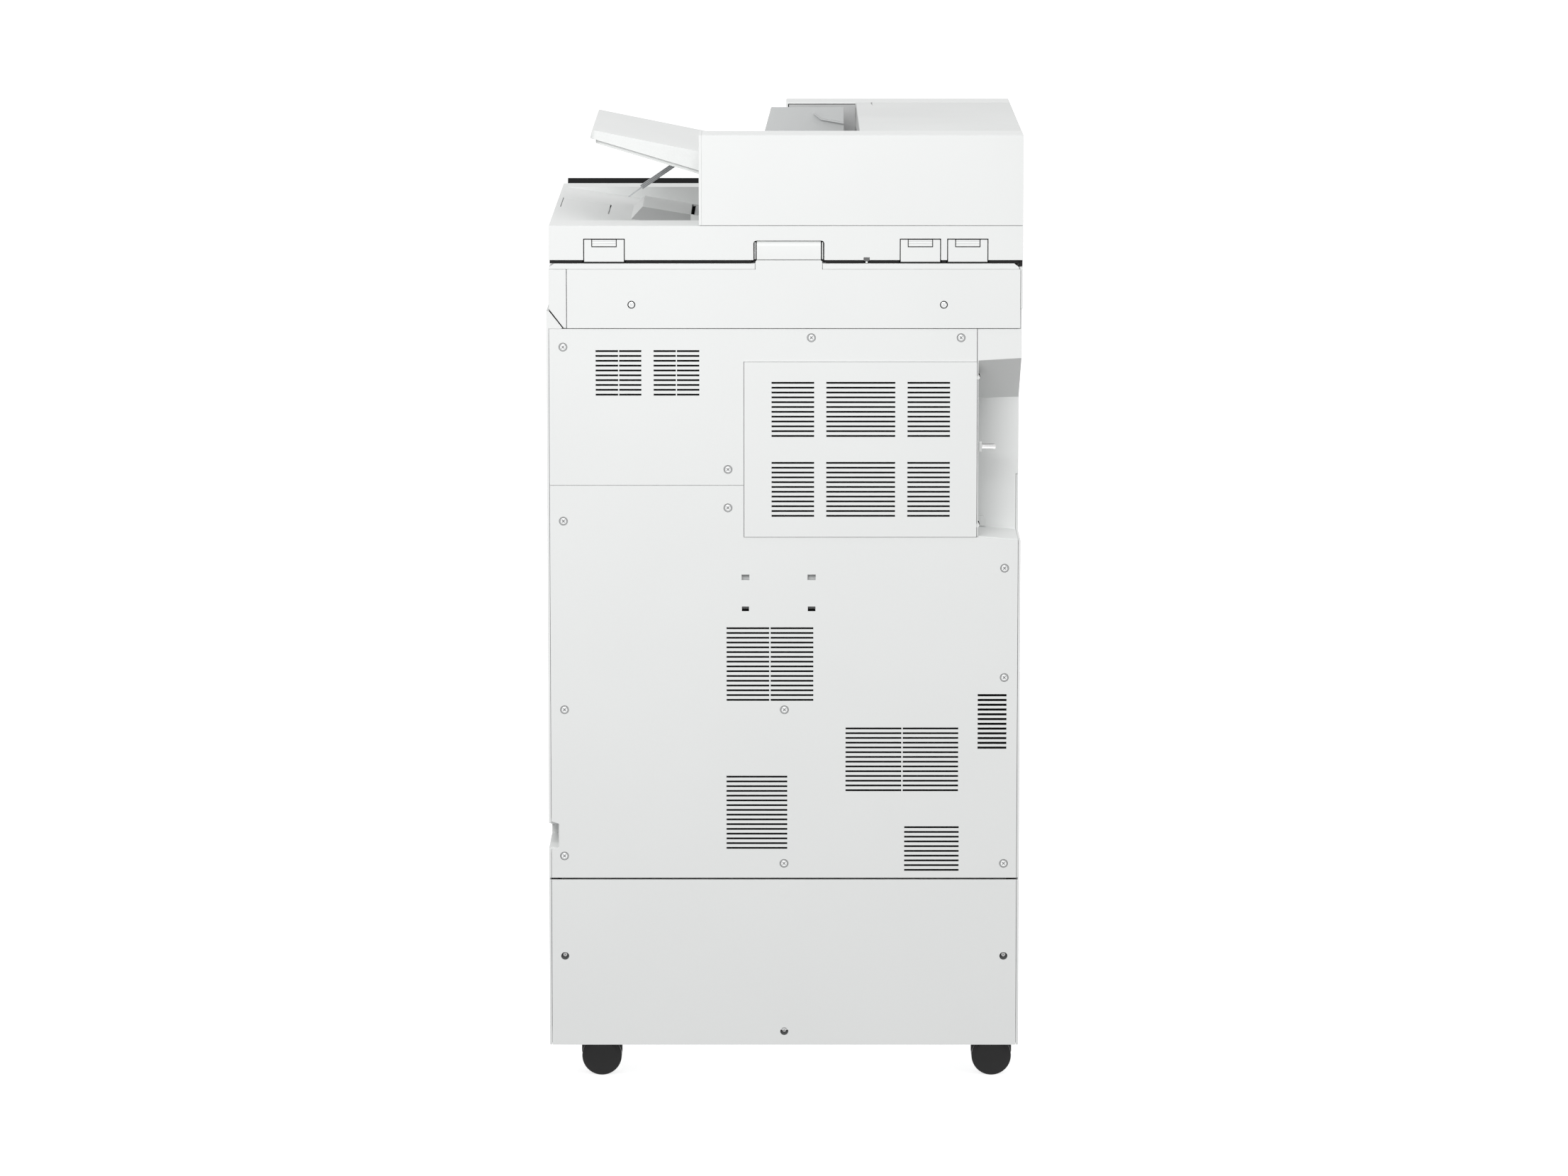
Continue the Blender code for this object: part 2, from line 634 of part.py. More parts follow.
piece("lid_base", lid_slab, SHELL, body="lid", steps=[
    (CUT, output_floor),
    (JOIN, hump),
    (CUT, lambda bm: block(bm, 106.5, 118.5, -36, 103, 1060, 1090)),
    (CUT, flap_pocket),
    (CUT, hinge_pockets),
    (CUT, arch)])

for hname, hx0, hx1 in HINGES:
    mid = (hx0 + hx1) / 2
    piece(hname, lambda bm: block(bm, hx0 + 1.1, hx1 - 1.1, 347, REAR, 1038.3, 1065.8), SHELL,
          body="lid", steps=[(CUT, lambda bm: block(bm, mid - 15.6, mid + 15.6, 366.5, 380,
                                                    1056.4, 1080))])

piece("platen_pad", lambda bm: block(bm, -285, 280, -200, 320, 1036.6, 1040.0),
      ((0.9, 0.9, 0.9), 0.7, 0.0), body="lid")

pivot("stopper_flap", FLAP_HINGE[0], 48, FLAP_HINGE[1], parent="lid")


def flap(bm):
    prism(bm, [(283.5, floor_top(283.5) - 0.1), (284.1, floor_top(284.1) - 0.8),
               (284.1, floor_top(284.1) - 2.7), (224.0, floor_top(224.0) - 2.7),
               (224.0, floor_top(224.0) - 0.1)], "y", -15, 112)


piece("stopper_flap", flap, SHELL, body="stopper_flap")

# ------------------------------------------------------------------ feeder housings
piece("adf_rear_cover",
      lambda bm: block(bm, LID_X0, 105.2, 305, REAR, 1083.4, TOP_Z), SHELL, body="lid", steps=[
          (CUT, lambda bm: block(bm, LID_X0 + 2.5, 102.7, 307.5, REAR - 2.5, 1070, TOP_Z - 2.5))])
piece("adf_front_cover",
      lambda bm: block(bm, LID_X0, -3.0, -209, -144, 1083.1, TOP_Z), SHELL, body="lid", steps=[
          (CUT, lambda bm: block(bm, LID_X0 + 2.5, -5.5, -206.5, -146.5, 1070, TOP_Z - 2.5))])


def feeder_block(bm):
    prism(bm, [(-284.6, 1083.1), (-105, 1083.1), (-105, 1098.0), (28.4, 1116.0),
               (28.4, tray_top(28.4)), (-92.0, tray_top(-92.0)), (-99.0, 1118.0), (-284.6, 1118.0)],
          "y", -139.8, 300.8)


piece("adf_frame", feeder_block, INNER, body="lid")

pivot("feed_cover", FEED_HINGE[0], 80, FEED_HINGE[1], parent="lid")
piece("adf_feed_cover",
      lambda bm: block(bm, LID_X0, -94, -143.4, 304.4, 1085.6, TOP_Z), SHELL, body="feed_cover",
      steps=[(CUT, lambda bm: block(bm, LID_X0 + 3.6, -97, -140.4, 301.4, 1070, TOP_Z - 3.0)),
             (CUT, lambda bm: block(bm, -110, -80, -140.4, 301.4, 1070, 1150))])
pivot("feed_roller", -137, 80, 1143, parent="feed_cover")
piece("feed_roller", lambda bm: drum(bm, "y", (-137, 1143), 60, 100, 12, 20), RUBBER,
      body="feed_roller", smooth=True,
      steps=[(JOIN, lambda bm: drum(bm, "y", (-137, 1143), -139, 300, 3, 10))])

# ------------------------------------------------------------------ original tray
pivot("document_tray", TRAY_HINGE[0], 80, TRAY_HINGE[1], parent="lid")


def tray_plan(bm):
    prism(bm, rounded(29.4, TRAY_END + 4, -89, 235, (0, 8, 8, 0), 6), "z", 1100, 1210)


def tray_profile(bm):
    # the end leans outwards towards its lower edge
    prism(bm, [(29.4 - 20, tray_top(9.4)), (29.4 - 20, 1110.2), (107, 1139.3), (234.5, 1177.6),
               (TRAY_END + 3.8, 1179.6), (TRAY_END + 1.3, tray_top(TRAY_END + 1.3))], "y", -100, 260)


def under(x):
    return 1139.3 + (x - 107) * 0.3004


piece("document_tray", tray_plan, SHELL, body="document_tray", steps=[
    (COMMON, tray_profile),
    (JOIN, lambda bm: loft(bm,
                           [(x, y, under(x) - 5.0) for x, y in
                            rounded(50, 236, -81, 228, (0, 8, 8, 0), 6)],
                           [(x, y, under(x) + 1.5) for x, y in
                            rounded(50, 236, -81, 228, (0, 8, 8, 0), 6)]))])

pivot("paper_arm", ARM_HINGE[0], -60, ARM_HINGE[1], parent="document_tray")
arm_end, arm_tip = (184.8, 1091.6), (201.4, 1079.2)
arm_dx, arm_dz = arm_end[0] - ARM_HINGE[0], arm_end[1] - ARM_HINGE[1]
arm_len = math.hypot(arm_dx, arm_dz)
arm_n = (-arm_dz / arm_len, arm_dx / arm_len)


def arm_bar(p, q, half):
    return [(p[0] + arm_n[0] * half, p[1] + arm_n[1] * half),
            (q[0] + arm_n[0] * half, q[1] + arm_n[1] * half),
            (q[0] - arm_n[0] * half, q[1] - arm_n[1] * half),
            (p[0] - arm_n[0] * half, p[1] - arm_n[1] * half)]


piece("paper_arm", lambda bm: drum(bm, "y", ARM_HINGE, -66, -54, 3.5, 16), STEEL,
      body="paper_arm", steps=[
          (JOIN, lambda bm: prism(bm, arm_bar(ARM_HINGE, arm_end, 3.0), "y", -63.5, -56.5)),
          (JOIN, lambda bm: prism(bm, arm_bar((arm_end[0] - 3, arm_end[1] + 2.06), arm_tip, 0.8),
                                  "y", -62, -58))])


# ------------------------------------------------------------------ side guides of the original tray
def guide(name, y_in, side, top, lip):
    """Upright fence with a foot; side is +1 where the sheet lies towards +Y."""
    pivot(name, -30, y_in, 1150, parent="lid")
    y_out = y_in - side * 3.0

    def fence(bm):
        prism(bm, [(-77.7, tray_top(-77.7) + 0.5), (25.2, tray_top(25.2) + 0.5),
                   (25.2 - (top - 1163.0) * 0.0, min(top, 1163.0)),
                   (25.2 - (top - 1163.0) * 0.27, top), (-77.7, top)],
              "y", min(y_in, y_out), max(y_in, y_out))

    def foot(bm):
        ya, yb = sorted((y_in - side * 2.0, y_in + side * 15.0))
        prism(bm, [(-70, tray_top(-70) + 0.5), (18, tray_top(18) + 0.5), (18, tray_top(18) + 2.5),
                   (-70, tray_top(-70) + 2.5)], "y", ya, yb)

    def rib(bm):
        ya, yb = sorted((y_in - side * 1.0, y_in + side * 8.0))
        prism(bm, [(-77.7, 1173.4), (-47.7, 1178.8), (-38.4, 1186.2), (-39.4, 1187.4),
                   (-48.3, 1180.4), (-77.7, 1175.2)], "y", ya, yb)

    steps = [(JOIN, foot)]
    if lip:
        steps.append((JOIN, rib))
    piece(name, fence, INNER, body=name, steps=steps)


guide("guide_front", -68.5, 1, 1194.6, True)
guide("guide_rear", 228.5, -1, 1184.0, False)

# ================================================================== control panel
pivot("control_panel", 133, PANEL_HINGE[0], PANEL_HINGE[1])
PU = (math.cos(PANEL_TILT), math.sin(PANEL_TILT))      # up the slope, in (y, z)
PN = (-math.sin(PANEL_TILT), math.cos(PANEL_TILT))     # out of the face
P0 = (-370.0, 1085.9 - 150.0 * math.sin(PANEL_TILT))   # lower front corner of the face


def on_panel(u, w):
    return (P0[0] + PU[0] * u + PN[0] * w, P0[1] + PU[1] * u + PN[1] * w)


def panel_box(bm, x0, x1, u0, u1, w0, w1):
    prism(bm, [on_panel(u0, w0), on_panel(u1, w0), on_panel(u1, w1), on_panel(u0, w1)], "x", x0, x1)


def panel_disc(bm, x, u, r, w0, w1, n=20):
    ring = circle(x, u, r, n)
    loft(bm, [(a,) + on_panel(b, w0) for a, b in ring], [(a,) + on_panel(b, w1) for a, b in ring])


piece("control_panel", lambda bm: panel_box(bm, -20, 286.5, 0, 150, -18, 0), DARK,
      body="control_panel", steps=[
          (JOIN, lambda bm: drum(bm, "x", PANEL_HINGE, 100, 170, 9, 20)),
          (JOIN, lambda bm: prism(bm, [(PANEL_HINGE[0] - 8, PANEL_HINGE[1]),
                                       (PANEL_HINGE[0] + 8, PANEL_HINGE[1]),
                                       on_panel(108, -16), on_panel(84, -16)], "x", 102, 168)),
          (CUT, lambda bm: panel_box(bm, -10, 232, 10, 140, -2.6, 5)),
          (CUT, lambda bm: panel_disc(bm, 259, 40, 10.0, -4.2, 5)),
          ])
piece("touch_screen", lambda bm: panel_box(bm, -9.6, 231.6, 10.4, 139.6, -2.2, 0.2), GLASS,
      body="control_panel")
pivot("start_key", 259, on_panel(40, 0)[0], on_panel(40, 0)[1], parent="control_panel")
piece("start_key", lambda bm: panel_disc(bm, 259, 40, 9.5, -2.6, 1.6), INNER, body="start_key")
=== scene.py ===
import json
import math

import bmesh
import bpy
from mathutils import Matrix, Vector


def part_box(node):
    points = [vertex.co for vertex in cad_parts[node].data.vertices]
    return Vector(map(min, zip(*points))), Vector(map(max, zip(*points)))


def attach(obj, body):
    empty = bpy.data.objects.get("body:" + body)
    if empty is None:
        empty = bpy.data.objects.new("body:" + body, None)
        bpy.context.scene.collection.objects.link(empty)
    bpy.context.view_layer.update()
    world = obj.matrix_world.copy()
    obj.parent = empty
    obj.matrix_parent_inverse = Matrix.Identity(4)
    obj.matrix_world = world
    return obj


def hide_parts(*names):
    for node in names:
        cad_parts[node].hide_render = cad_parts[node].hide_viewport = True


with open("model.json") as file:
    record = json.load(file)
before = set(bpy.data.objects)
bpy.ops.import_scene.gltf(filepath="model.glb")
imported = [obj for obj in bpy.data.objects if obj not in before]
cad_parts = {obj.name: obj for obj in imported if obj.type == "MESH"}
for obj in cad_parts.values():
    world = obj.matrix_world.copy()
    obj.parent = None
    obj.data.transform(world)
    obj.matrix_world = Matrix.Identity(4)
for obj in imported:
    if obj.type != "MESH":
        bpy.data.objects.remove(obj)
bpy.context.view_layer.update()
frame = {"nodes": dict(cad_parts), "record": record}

MM = 0.001
scene = bpy.context.scene
link = scene.collection.objects.link
nodes = frame["nodes"]
node_body = {}
for body, members in frame["record"]["behaviour"]["bodies"].items():
    for member in members:
        node_body[member] = body
slots = {s["node"]: s["material_slot"] for s in frame["record"]["subparts"]}

# ------------------------------------------------------------------ camera
cam = bpy.data.cameras.new("camera")
cam.sensor_fit = "HORIZONTAL"
cam.sensor_width = 36.0
cam.lens = 9500.0 * 36.0 / 2212.0
cam.clip_start, cam.clip_end = 0.1, 200.0
cam_ob = bpy.data.objects.new("camera", cam)
cam_ob.location = (0.0, 8.653, 1.886)
cam_ob.rotation_euler = (math.radians(81.384), 0.0, math.radians(180.0))
link(cam_ob)
scene.camera = cam_ob


# ------------------------------------------------------------------ materials
def new_material(name):
    m = bpy.data.materials.new(name)
    m.use_nodes = True
    nt = m.node_tree
    return m, nt, nt.nodes["Principled BSDF"]


def noise(nt, coords, scale, detail=2.0, rough=0.5, stretch=None):
    n = nt.nodes.new("ShaderNodeTexNoise")
    n.inputs["Scale"].default_value = scale
    n.inputs["Detail"].default_value = detail
    n.inputs["Roughness"].default_value = rough
    if stretch:
        mp = nt.nodes.new("ShaderNodeMapping")
        mp.inputs["Scale"].default_value = stretch
        nt.links.new(coords, mp.inputs["Vector"])
        coords = mp.outputs["Vector"]
    nt.links.new(coords, n.inputs["Vector"])
    return n.outputs["Fac"]


def ramp(nt, fac, a, b, lo=0.3, hi=0.7):
    r = nt.nodes.new("ShaderNodeMapRange")
    r.inputs["From Min"].default_value = lo
    r.inputs["From Max"].default_value = hi
    r.inputs["To Min"].default_value = a
    r.inputs["To Max"].default_value = b
    nt.links.new(fac, r.inputs["Value"])
    return r.outputs["Result"]


def plastic(name, rgb, rough=0.45, vary=0.02, grain=1500.0, bump=0.12, spec=0.5, coat=0.0, dust=0.0):
    """Moulded plastic: spark-eroded grain, faint flow variation, slightly uneven gloss."""
    m, nt, p = new_material(name)
    tc = nt.nodes.new("ShaderNodeTexCoord").outputs["Object"]
    cloud = noise(nt, tc, 7.0, 3.0)
    speck = noise(nt, tc, grain * 0.8, 1.0)
    mix = nt.nodes.new("ShaderNodeMix")
    mix.data_type = "RGBA"
    c0 = [c * (1 - vary) for c in rgb] + [1.0]
    c1 = [min(1.0, c * (1 + vary)) for c in rgb] + [1.0]
    mix.inputs["A"].default_value = c0
    mix.inputs["B"].default_value = c1
    both = nt.nodes.new("ShaderNodeMath")
    both.operation = "ADD"
    nt.links.new(ramp(nt, cloud, 0.0, 0.5), both.inputs[0])
    nt.links.new(ramp(nt, speck, 0.0, 0.5), both.inputs[1])
    nt.links.new(both.outputs[0], mix.inputs["Factor"])
    nt.links.new(mix.outputs["Result"], p.inputs["Base Color"])
    nt.links.new(ramp(nt, cloud, rough - 0.03, rough + 0.03), p.inputs["Roughness"])
    p.inputs["Specular IOR Level"].default_value = spec
    p.inputs["Coat Weight"].default_value = coat
    p.inputs["Coat Roughness"].default_value = 0.12
    bn = nt.nodes.new("ShaderNodeBump")
    bn.inputs["Strength"].default_value = bump
    bn.inputs["Distance"].default_value = 0.0002
    nt.links.new(noise(nt, tc, grain, 2.0, 0.6), bn.inputs["Height"])
    nt.links.new(bn.outputs["Normal"], p.inputs["Normal"])
    return m


def metal(name, rgb, rough=0.35, stretch=(1, 1, 40), scale=60.0, spangle=0.0):
    """Sheet or drawn metal: fine lines along one direction and uneven gloss."""
    m, nt, p = new_material(name)
    tc = nt.nodes.new("ShaderNodeTexCoord").outputs["Object"]
    lines = noise(nt, tc, scale, 3.0, 0.6, stretch)
    mix = nt.nodes.new("ShaderNodeMix")
    mix.data_type = "RGBA"
    mix.inputs["A"].default_value = [c * 0.9 for c in rgb] + [1.0]
    mix.inputs["B"].default_value = [min(1.0, c * 1.08) for c in rgb] + [1.0]
    src = lines
    if spangle:
        v = nt.nodes.new("ShaderNodeTexVoronoi")
        v.inputs["Scale"].default_value = spangle
        nt.links.new(tc, v.inputs["Vector"])
        sep = nt.nodes.new("ShaderNodeSeparateColor")
        nt.links.new(v.outputs["Color"], sep.inputs["Color"])
        src = sep.outputs[0]
    nt.links.new(src, mix.inputs["Factor"])
    nt.links.new(mix.outputs["Result"], p.inputs["Base Color"])
    p.inputs["Metallic"].default_value = 1.0
    nt.links.new(ramp(nt, lines, rough - 0.07, rough + 0.09), p.inputs["Roughness"])
    bn = nt.nodes.new("ShaderNodeBump")
    bn.inputs["Strength"].default_value = 0.12
    bn.inputs["Distance"].default_value = 0.0001
    nt.links.new(lines, bn.inputs["Height"])
    nt.links.new(bn.outputs["Normal"], p.inputs["Normal"])
    return m


def rubber(name, rgb, rough=0.75):
    m, nt, p = new_material(name)
    tc = nt.nodes.new("ShaderNodeTexCoord").outputs["Object"]
    n1 = noise(nt, tc, 300.0, 4.0, 0.7)
    mix = nt.nodes.new("ShaderNodeMix")
    mix.data_type = "RGBA"
    mix.inputs["A"].default_value = [c * 0.8 for c in rgb] + [1.0]
    mix.inputs["B"].default_value = [c * 1.2 for c in rgb] + [1.0]
    nt.links.new(n1, mix.inputs["Factor"])
    nt.links.new(mix.outputs["Result"], p.inputs["Base Color"])
    nt.links.new(ramp(nt, n1, rough - 0.08, rough + 0.08), p.inputs["Roughness"])
    bn = nt.nodes.new("ShaderNodeBump")
    bn.inputs["Strength"].default_value = 0.3
    bn.inputs["Distance"].default_value = 0.0002
    nt.links.new(noise(nt, tc, 1200.0, 2.0), bn.inputs["Height"])
    nt.links.new(bn.outputs["Normal"], p.inputs["Normal"])
    return m


def glass(name):
    m, nt, p = new_material(name)
    tc = nt.nodes.new("ShaderNodeTexCoord").outputs["Object"]
    n1 = noise(nt, tc, 12.0, 3.0)
    p.inputs["Base Color"].default_value = (0.78, 0.88, 0.87, 1.0)
    p.inputs["Transmission Weight"].default_value = 0.9
    p.inputs["IOR"].default_value = 1.5
    nt.links.new(ramp(nt, n1, 0.02, 0.06), p.inputs["Roughness"])
    return m


WHITE = (0.80, 0.812, 0.806)
M = {
    "shell": plastic("mat_shell", WHITE, 0.48, 0.012, 1300.0, 0.10),
    "shell_grain": plastic("mat_shell_grain", (0.74, 0.752, 0.746), 0.55, 0.05, 750.0, 0.45, 0.4),
    "tray_grain": plastic("mat_tray_grain", WHITE, 0.52, 0.03, 800.0, 0.3, 0.4),
    "inner_plastic": plastic("mat_inner", (0.56, 0.57, 0.57), 0.5, 0.02, 1300.0, 0.15),
    # dark grey for the plate painted as shade on the ramp's slanted face
    "ramp_painted_shade": plastic("mat_ramp_painted_shade", (0.41, 0.415, 0.415), 0.55, 0.03, 900.0, 0.25),
    "guide_plastic": plastic("mat_guide", (0.52, 0.53, 0.53), 0.5, 0.02, 1300.0, 0.15),
    "black_plastic": plastic("mat_black", (0.028, 0.028, 0.030), 0.42, 0.05, 1100.0, 0.15),
    # near-black used to paint shade into slots, gaps, pockets and recesses; the pieces below in this material are
    # painted shade
    "liner": plastic("mat_painted_shade_black", (0.004, 0.004, 0.004), 0.9, 0.05, 1100.0, 0.1, 0.05),
    "panel_plastic": plastic("mat_panel", (0.010, 0.0105, 0.011), 0.42, 0.05, 1400.0, 0.10, 0.16),
    "key_plastic": plastic("mat_key", (0.50, 0.56, 0.60), 0.3, 0.02, 1400.0, 0.05),
    "screen": plastic("mat_screen", (0.006, 0.007, 0.009), 0.08, 0.02, 300.0, 0.005, 0.5, 0.6),
    "frame_steel": metal("mat_frame_steel", (0.62, 0.63, 0.63), 0.38, (1, 1, 1), 30.0, 90.0),
    "arm_steel": metal("mat_arm_steel", (0.42, 0.43, 0.44), 0.38, (1, 40, 1), 60.0),
    "screw_steel": metal("mat_screw", (0.72, 0.73, 0.73), 0.34, (1, 1, 1), 400.0),
    "spacer": plastic("mat_spacer", (0.12, 0.12, 0.122), 0.5, 0.05, 900.0, 0.1),
    # mid grey for plates that paint shade on inner walls
    "inner_painted_shade": plastic("mat_inner_painted_shade", (0.52, 0.525, 0.525), 0.6, 0.05, 900.0, 0.05, 0.2),
    "screw_mid": metal("mat_screw_mid", (0.5, 0.5, 0.5), 0.45, (1, 1, 1), 400.0),
    # dark grey for the cups, painted as shade inside the pedestal screw holes
    "cup_painted_shade": plastic("mat_cup_painted_shade", (0.16, 0.165, 0.165), 0.6, 0.04, 900.0, 0.05, 0.2),
    # dark grey for strips and patches painted as shade on the opening cover
    "dark_painted_shade": metal("mat_dark_painted_shade", (0.22, 0.22, 0.22), 0.4, (1, 1, 1), 400.0),
    # dark grey for rings painted as shade round the screw heads and counterbores
    "rim_painted_shade": plastic("mat_rim_painted_shade", (0.20, 0.20, 0.202), 0.5, 0.03, 900.0, 0.1),
    "pin_metal": metal("mat_pin", (0.80, 0.80, 0.80), 0.16, (40, 1, 1), 60.0),
    # mid grey for discs painted as shade on the counterbore floors
    "counterbore_painted_shade": plastic("mat_counterbore_painted_shade", (0.52, 0.53, 0.53), 0.5, 0.03, 900.0, 0.1),
    "wheel": plastic("mat_wheel", (0.011, 0.011, 0.0115), 0.40, 0.04, 1400.0, 0.06, 0.3),
    "roller_rubber": rubber("mat_roller", (0.05, 0.05, 0.052)),
    "foam": rubber("mat_foam", (0.012, 0.012, 0.012), 0.95),
    "glass": glass("mat_glass"),
    "arm_dark": metal("mat_arm_dark", (0.22, 0.225, 0.23), 0.4, (1, 40, 1), 60.0),
    "sheets": plastic("mat_sheets", (0.86, 0.86, 0.85), 0.8, 0.02, 400.0, 0.3, 0.2),
    "release_green": plastic("mat_release", (0.05, 0.33, 0.18), 0.4, 0.03, 1200.0, 0.1),
    "pad": plastic("mat_pad", (0.86, 0.865, 0.86), 0.6, 0.01, 900.0, 0.1),
}


# ------------------------------------------------------------------ mesh helpers
def add_object(name, me, body, mat, slot=None):
    ob = bpy.data.objects.new(name, me)
    link(ob)
    me.materials.clear()
    me.materials.append(M[mat])
    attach(ob, body)
    return ob


def evaluate(ob):
    dg = bpy.context.evaluated_depsgraph_get()
    dg.update()
    me = bpy.data.meshes.new_from_object(ob.evaluated_get(dg), depsgraph=dg)
    old = ob.data
    ob.modifiers.clear()
    ob.data = me
    if old.users == 0:
        bpy.data.meshes.remove(old)
    return ob


def soften(ob, width, segments=2, angle=30.0, harden=True):
    """Rounds the sharp edges of a hard-surface mesh."""
    if width > 0:
        b = ob.modifiers.new("bevel", "BEVEL")
        b.width = width
        b.segments = segments
        b.limit_method = "ANGLE"
        b.angle_limit = math.radians(angle)
        b.use_clamp_overlap = True
        b.harden_normals = harden
        b.miter_outer = "MITER_ARC" if segments > 2 else "MITER_SHARP"
    for p in ob.data.polygons:
        p.use_smooth = width > 0 or angle > 0
    if width <= 0 and angle > 0:
        ob.data.set_sharp_from_angle(angle=math.radians(angle))
    return evaluate(ob)


def cleaned(me_src, name):
    bm = bmesh.new()
    bm.from_mesh(me_src)
    bmesh.ops.remove_doubles(bm, verts=bm.verts[:], dist=4e-6)
    bmesh.ops.dissolve_limit(bm, angle_limit=math.radians(0.6), verts=bm.verts[:], edges=bm.edges[:],
                             delimit=set())
    bmesh.ops.connect_verts_concave(bm, faces=bm.faces[:])
    bmesh.ops.recalc_face_normals(bm, faces=bm.faces[:])
    me = bpy.data.meshes.new(name)
    for lay in list(bm.loops.layers.uv):
        bm.loops.layers.uv.remove(lay)
    bm.to_mesh(me)
    bm.free()
    for a in ("custom_normal",):
        if a in me.attributes:
            me.attributes.remove(me.attributes[a])
    return me


def boolean(ob, draw, what="DIFFERENCE"):
    bm = bmesh.new()
    draw(bm)
    bmesh.ops.recalc_face_normals(bm, faces=bm.faces[:])
    me = bpy.data.meshes.new("tool")
    bm.to_mesh(me)
    bm.free()
    tool = bpy.data.objects.new("tool", me)
    link(tool)
    mod = ob.modifiers.new("cut", "BOOLEAN")
    mod.operation = what
    mod.solver = "EXACT"
    mod.object = tool
    evaluate(ob)
    bpy.data.objects.remove(tool)
    bpy.data.meshes.remove(me)
    return ob


def refined(node, mat, width, segments=2, cuts=(), adds=(), angle=30.0, name=None):
    """A finished copy of a CAD node: same shape, softened edges, extra moulded detail."""
    me = cleaned(nodes[node].data, node + "_skin")
    ob = bpy.data.objects.new(name or node + "_skin", me)
    link(ob)
    for draw in adds:
        boolean(ob, draw, "UNION")
    for draw in cuts:
        boolean(ob, draw)
    if cuts or adds:
        me2 = cleaned(ob.data, node + "_skin")
        ob.data = me2
    soften(ob, width * MM, segments, angle)
    ob.data.materials.clear()
    ob.data.materials.append(M[mat])
    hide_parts(node)
    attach(ob, node_body[node])
    return ob


def block(bm, x0, x1, y0, y1, z0, z1):
    made = bmesh.ops.create_cube(bm, size=1.0)["verts"]
    for v in made:
        v.co = Vector(((x0 if v.co.x < 0 else x1) * MM, (y0 if v.co.y < 0 else y1) * MM,
                       (z0 if v.co.z < 0 else z1) * MM))


def prism(bm, pts, axis, a, b):
    def place(p, t):
        if axis == "x":
            return Vector((t, p[0], p[1])) * MM
        if axis == "y":
            return Vector((p[0], t, p[1])) * MM
        return Vector((p[0], p[1], t)) * MM
    low = [bm.verts.new(place(p, a)) for p in pts]
    high = [bm.verts.new(place(p, b)) for p in pts]
    n = len(pts)
    bm.faces.new(low)
    bm.faces.new(high[::-1])
    for i in range(n):
        j = (i + 1) % n
        bm.faces.new((low[i], high[i], high[j], low[j]))


def circle(cx, cy, r, n, start=0.0):
    return [(cx + r * math.cos(start + 2 * math.pi * k / n), cy + r * math.sin(start + 2 * math.pi * k / n))
            for k in range(n)]


def drum(bm, axis, c, a, b, r, n=48):
    prism(bm, circle(c[0], c[1], r, n), axis, a, b)


def lathe(bm, axis, c, profile, n=64, mat_index=0):
    """Closed turned solid: profile is (position along the axis, radius), starting and ending at radius 0."""
    def place(t, r, k):
        u, w = c[0] + r * math.cos(2 * math.pi * k / n), c[1] + r * math.sin(2 * math.pi * k / n)
        if axis == "x":
            return Vector((t, u, w)) * MM
        if axis == "y":
            return Vector((u, t, w)) * MM
        return Vector((u, w, t)) * MM
    rings = []
    for t, r in profile:
        if r <= 1e-6:
            rings.append([bm.verts.new(place(t, 0, 0))])
        else:
            rings.append([bm.verts.new(place(t, r, k)) for k in range(n)])
    for a, b in zip(rings, rings[1:]):
        for k in range(n):
            j = (k + 1) % n
            if len(a) == 1:
                bm.faces.new((a[0], b[k], b[j]))
            elif len(b) == 1:
                bm.faces.new((a[k], b[0], a[j]))
            else:
                bm.faces.new((a[k], b[k], b[j], a[j]))


def made(name, body, mat, draw, width=0.3, segments=2, slot=None, cuts=(), angle=30.0, replaces=()):
    bm = bmesh.new()
    draw(bm)
    bmesh.ops.recalc_face_normals(bm, faces=bm.faces[:])
    me = bpy.data.meshes.new(name)
    bm.to_mesh(me)
    bm.free()
    ob = bpy.data.objects.new(name, me)
    link(ob)
    for c in cuts:
        boolean(ob, c)
    if cuts:
        ob.data = cleaned(ob.data, name)
    soften(ob, width * MM, segments, angle)
    ob.data.materials.clear()
    ob.data.materials.append(M[mat])
    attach(ob, body)
    if replaces:
        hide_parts(*replaces)
    return ob


# ------------------------------------------------------------------ screws
BODY_SCREWS = [(273.6, 932.2), (-33.9, 943.9), (-219.2, 943.9), (69.5, 779.5), (69.6, 731.4),
               (274.1, 714.7), (-274.4, 655.6), (-274.6, 517.8), (273.8, 477.1), (-0.5, 477.1),
               (274.7, 291.5), (0.0, 282.0), (-274.8, 282.0)]
UPPER = [s for s in BODY_SCREWS if s[1] > 759.8 and not (s[0] < 50 and s[1] < 914)]
LOWER = [s for s in BODY_SCREWS if s[1] < 759.8]
READER_SCREWS = [(188.7, 985.0), (-197.7, 985.0)]
PED_SCREWS = [(274.5, 163.8), (-275.2, 163.8), (-0.3, 67.2)]


def bore_cut(places, r, y0, y1, n=40):
    def draw(bm):
        for x, z in places:
            drum(bm, "y", (x, z), y0, y1, r, n)
    return draw


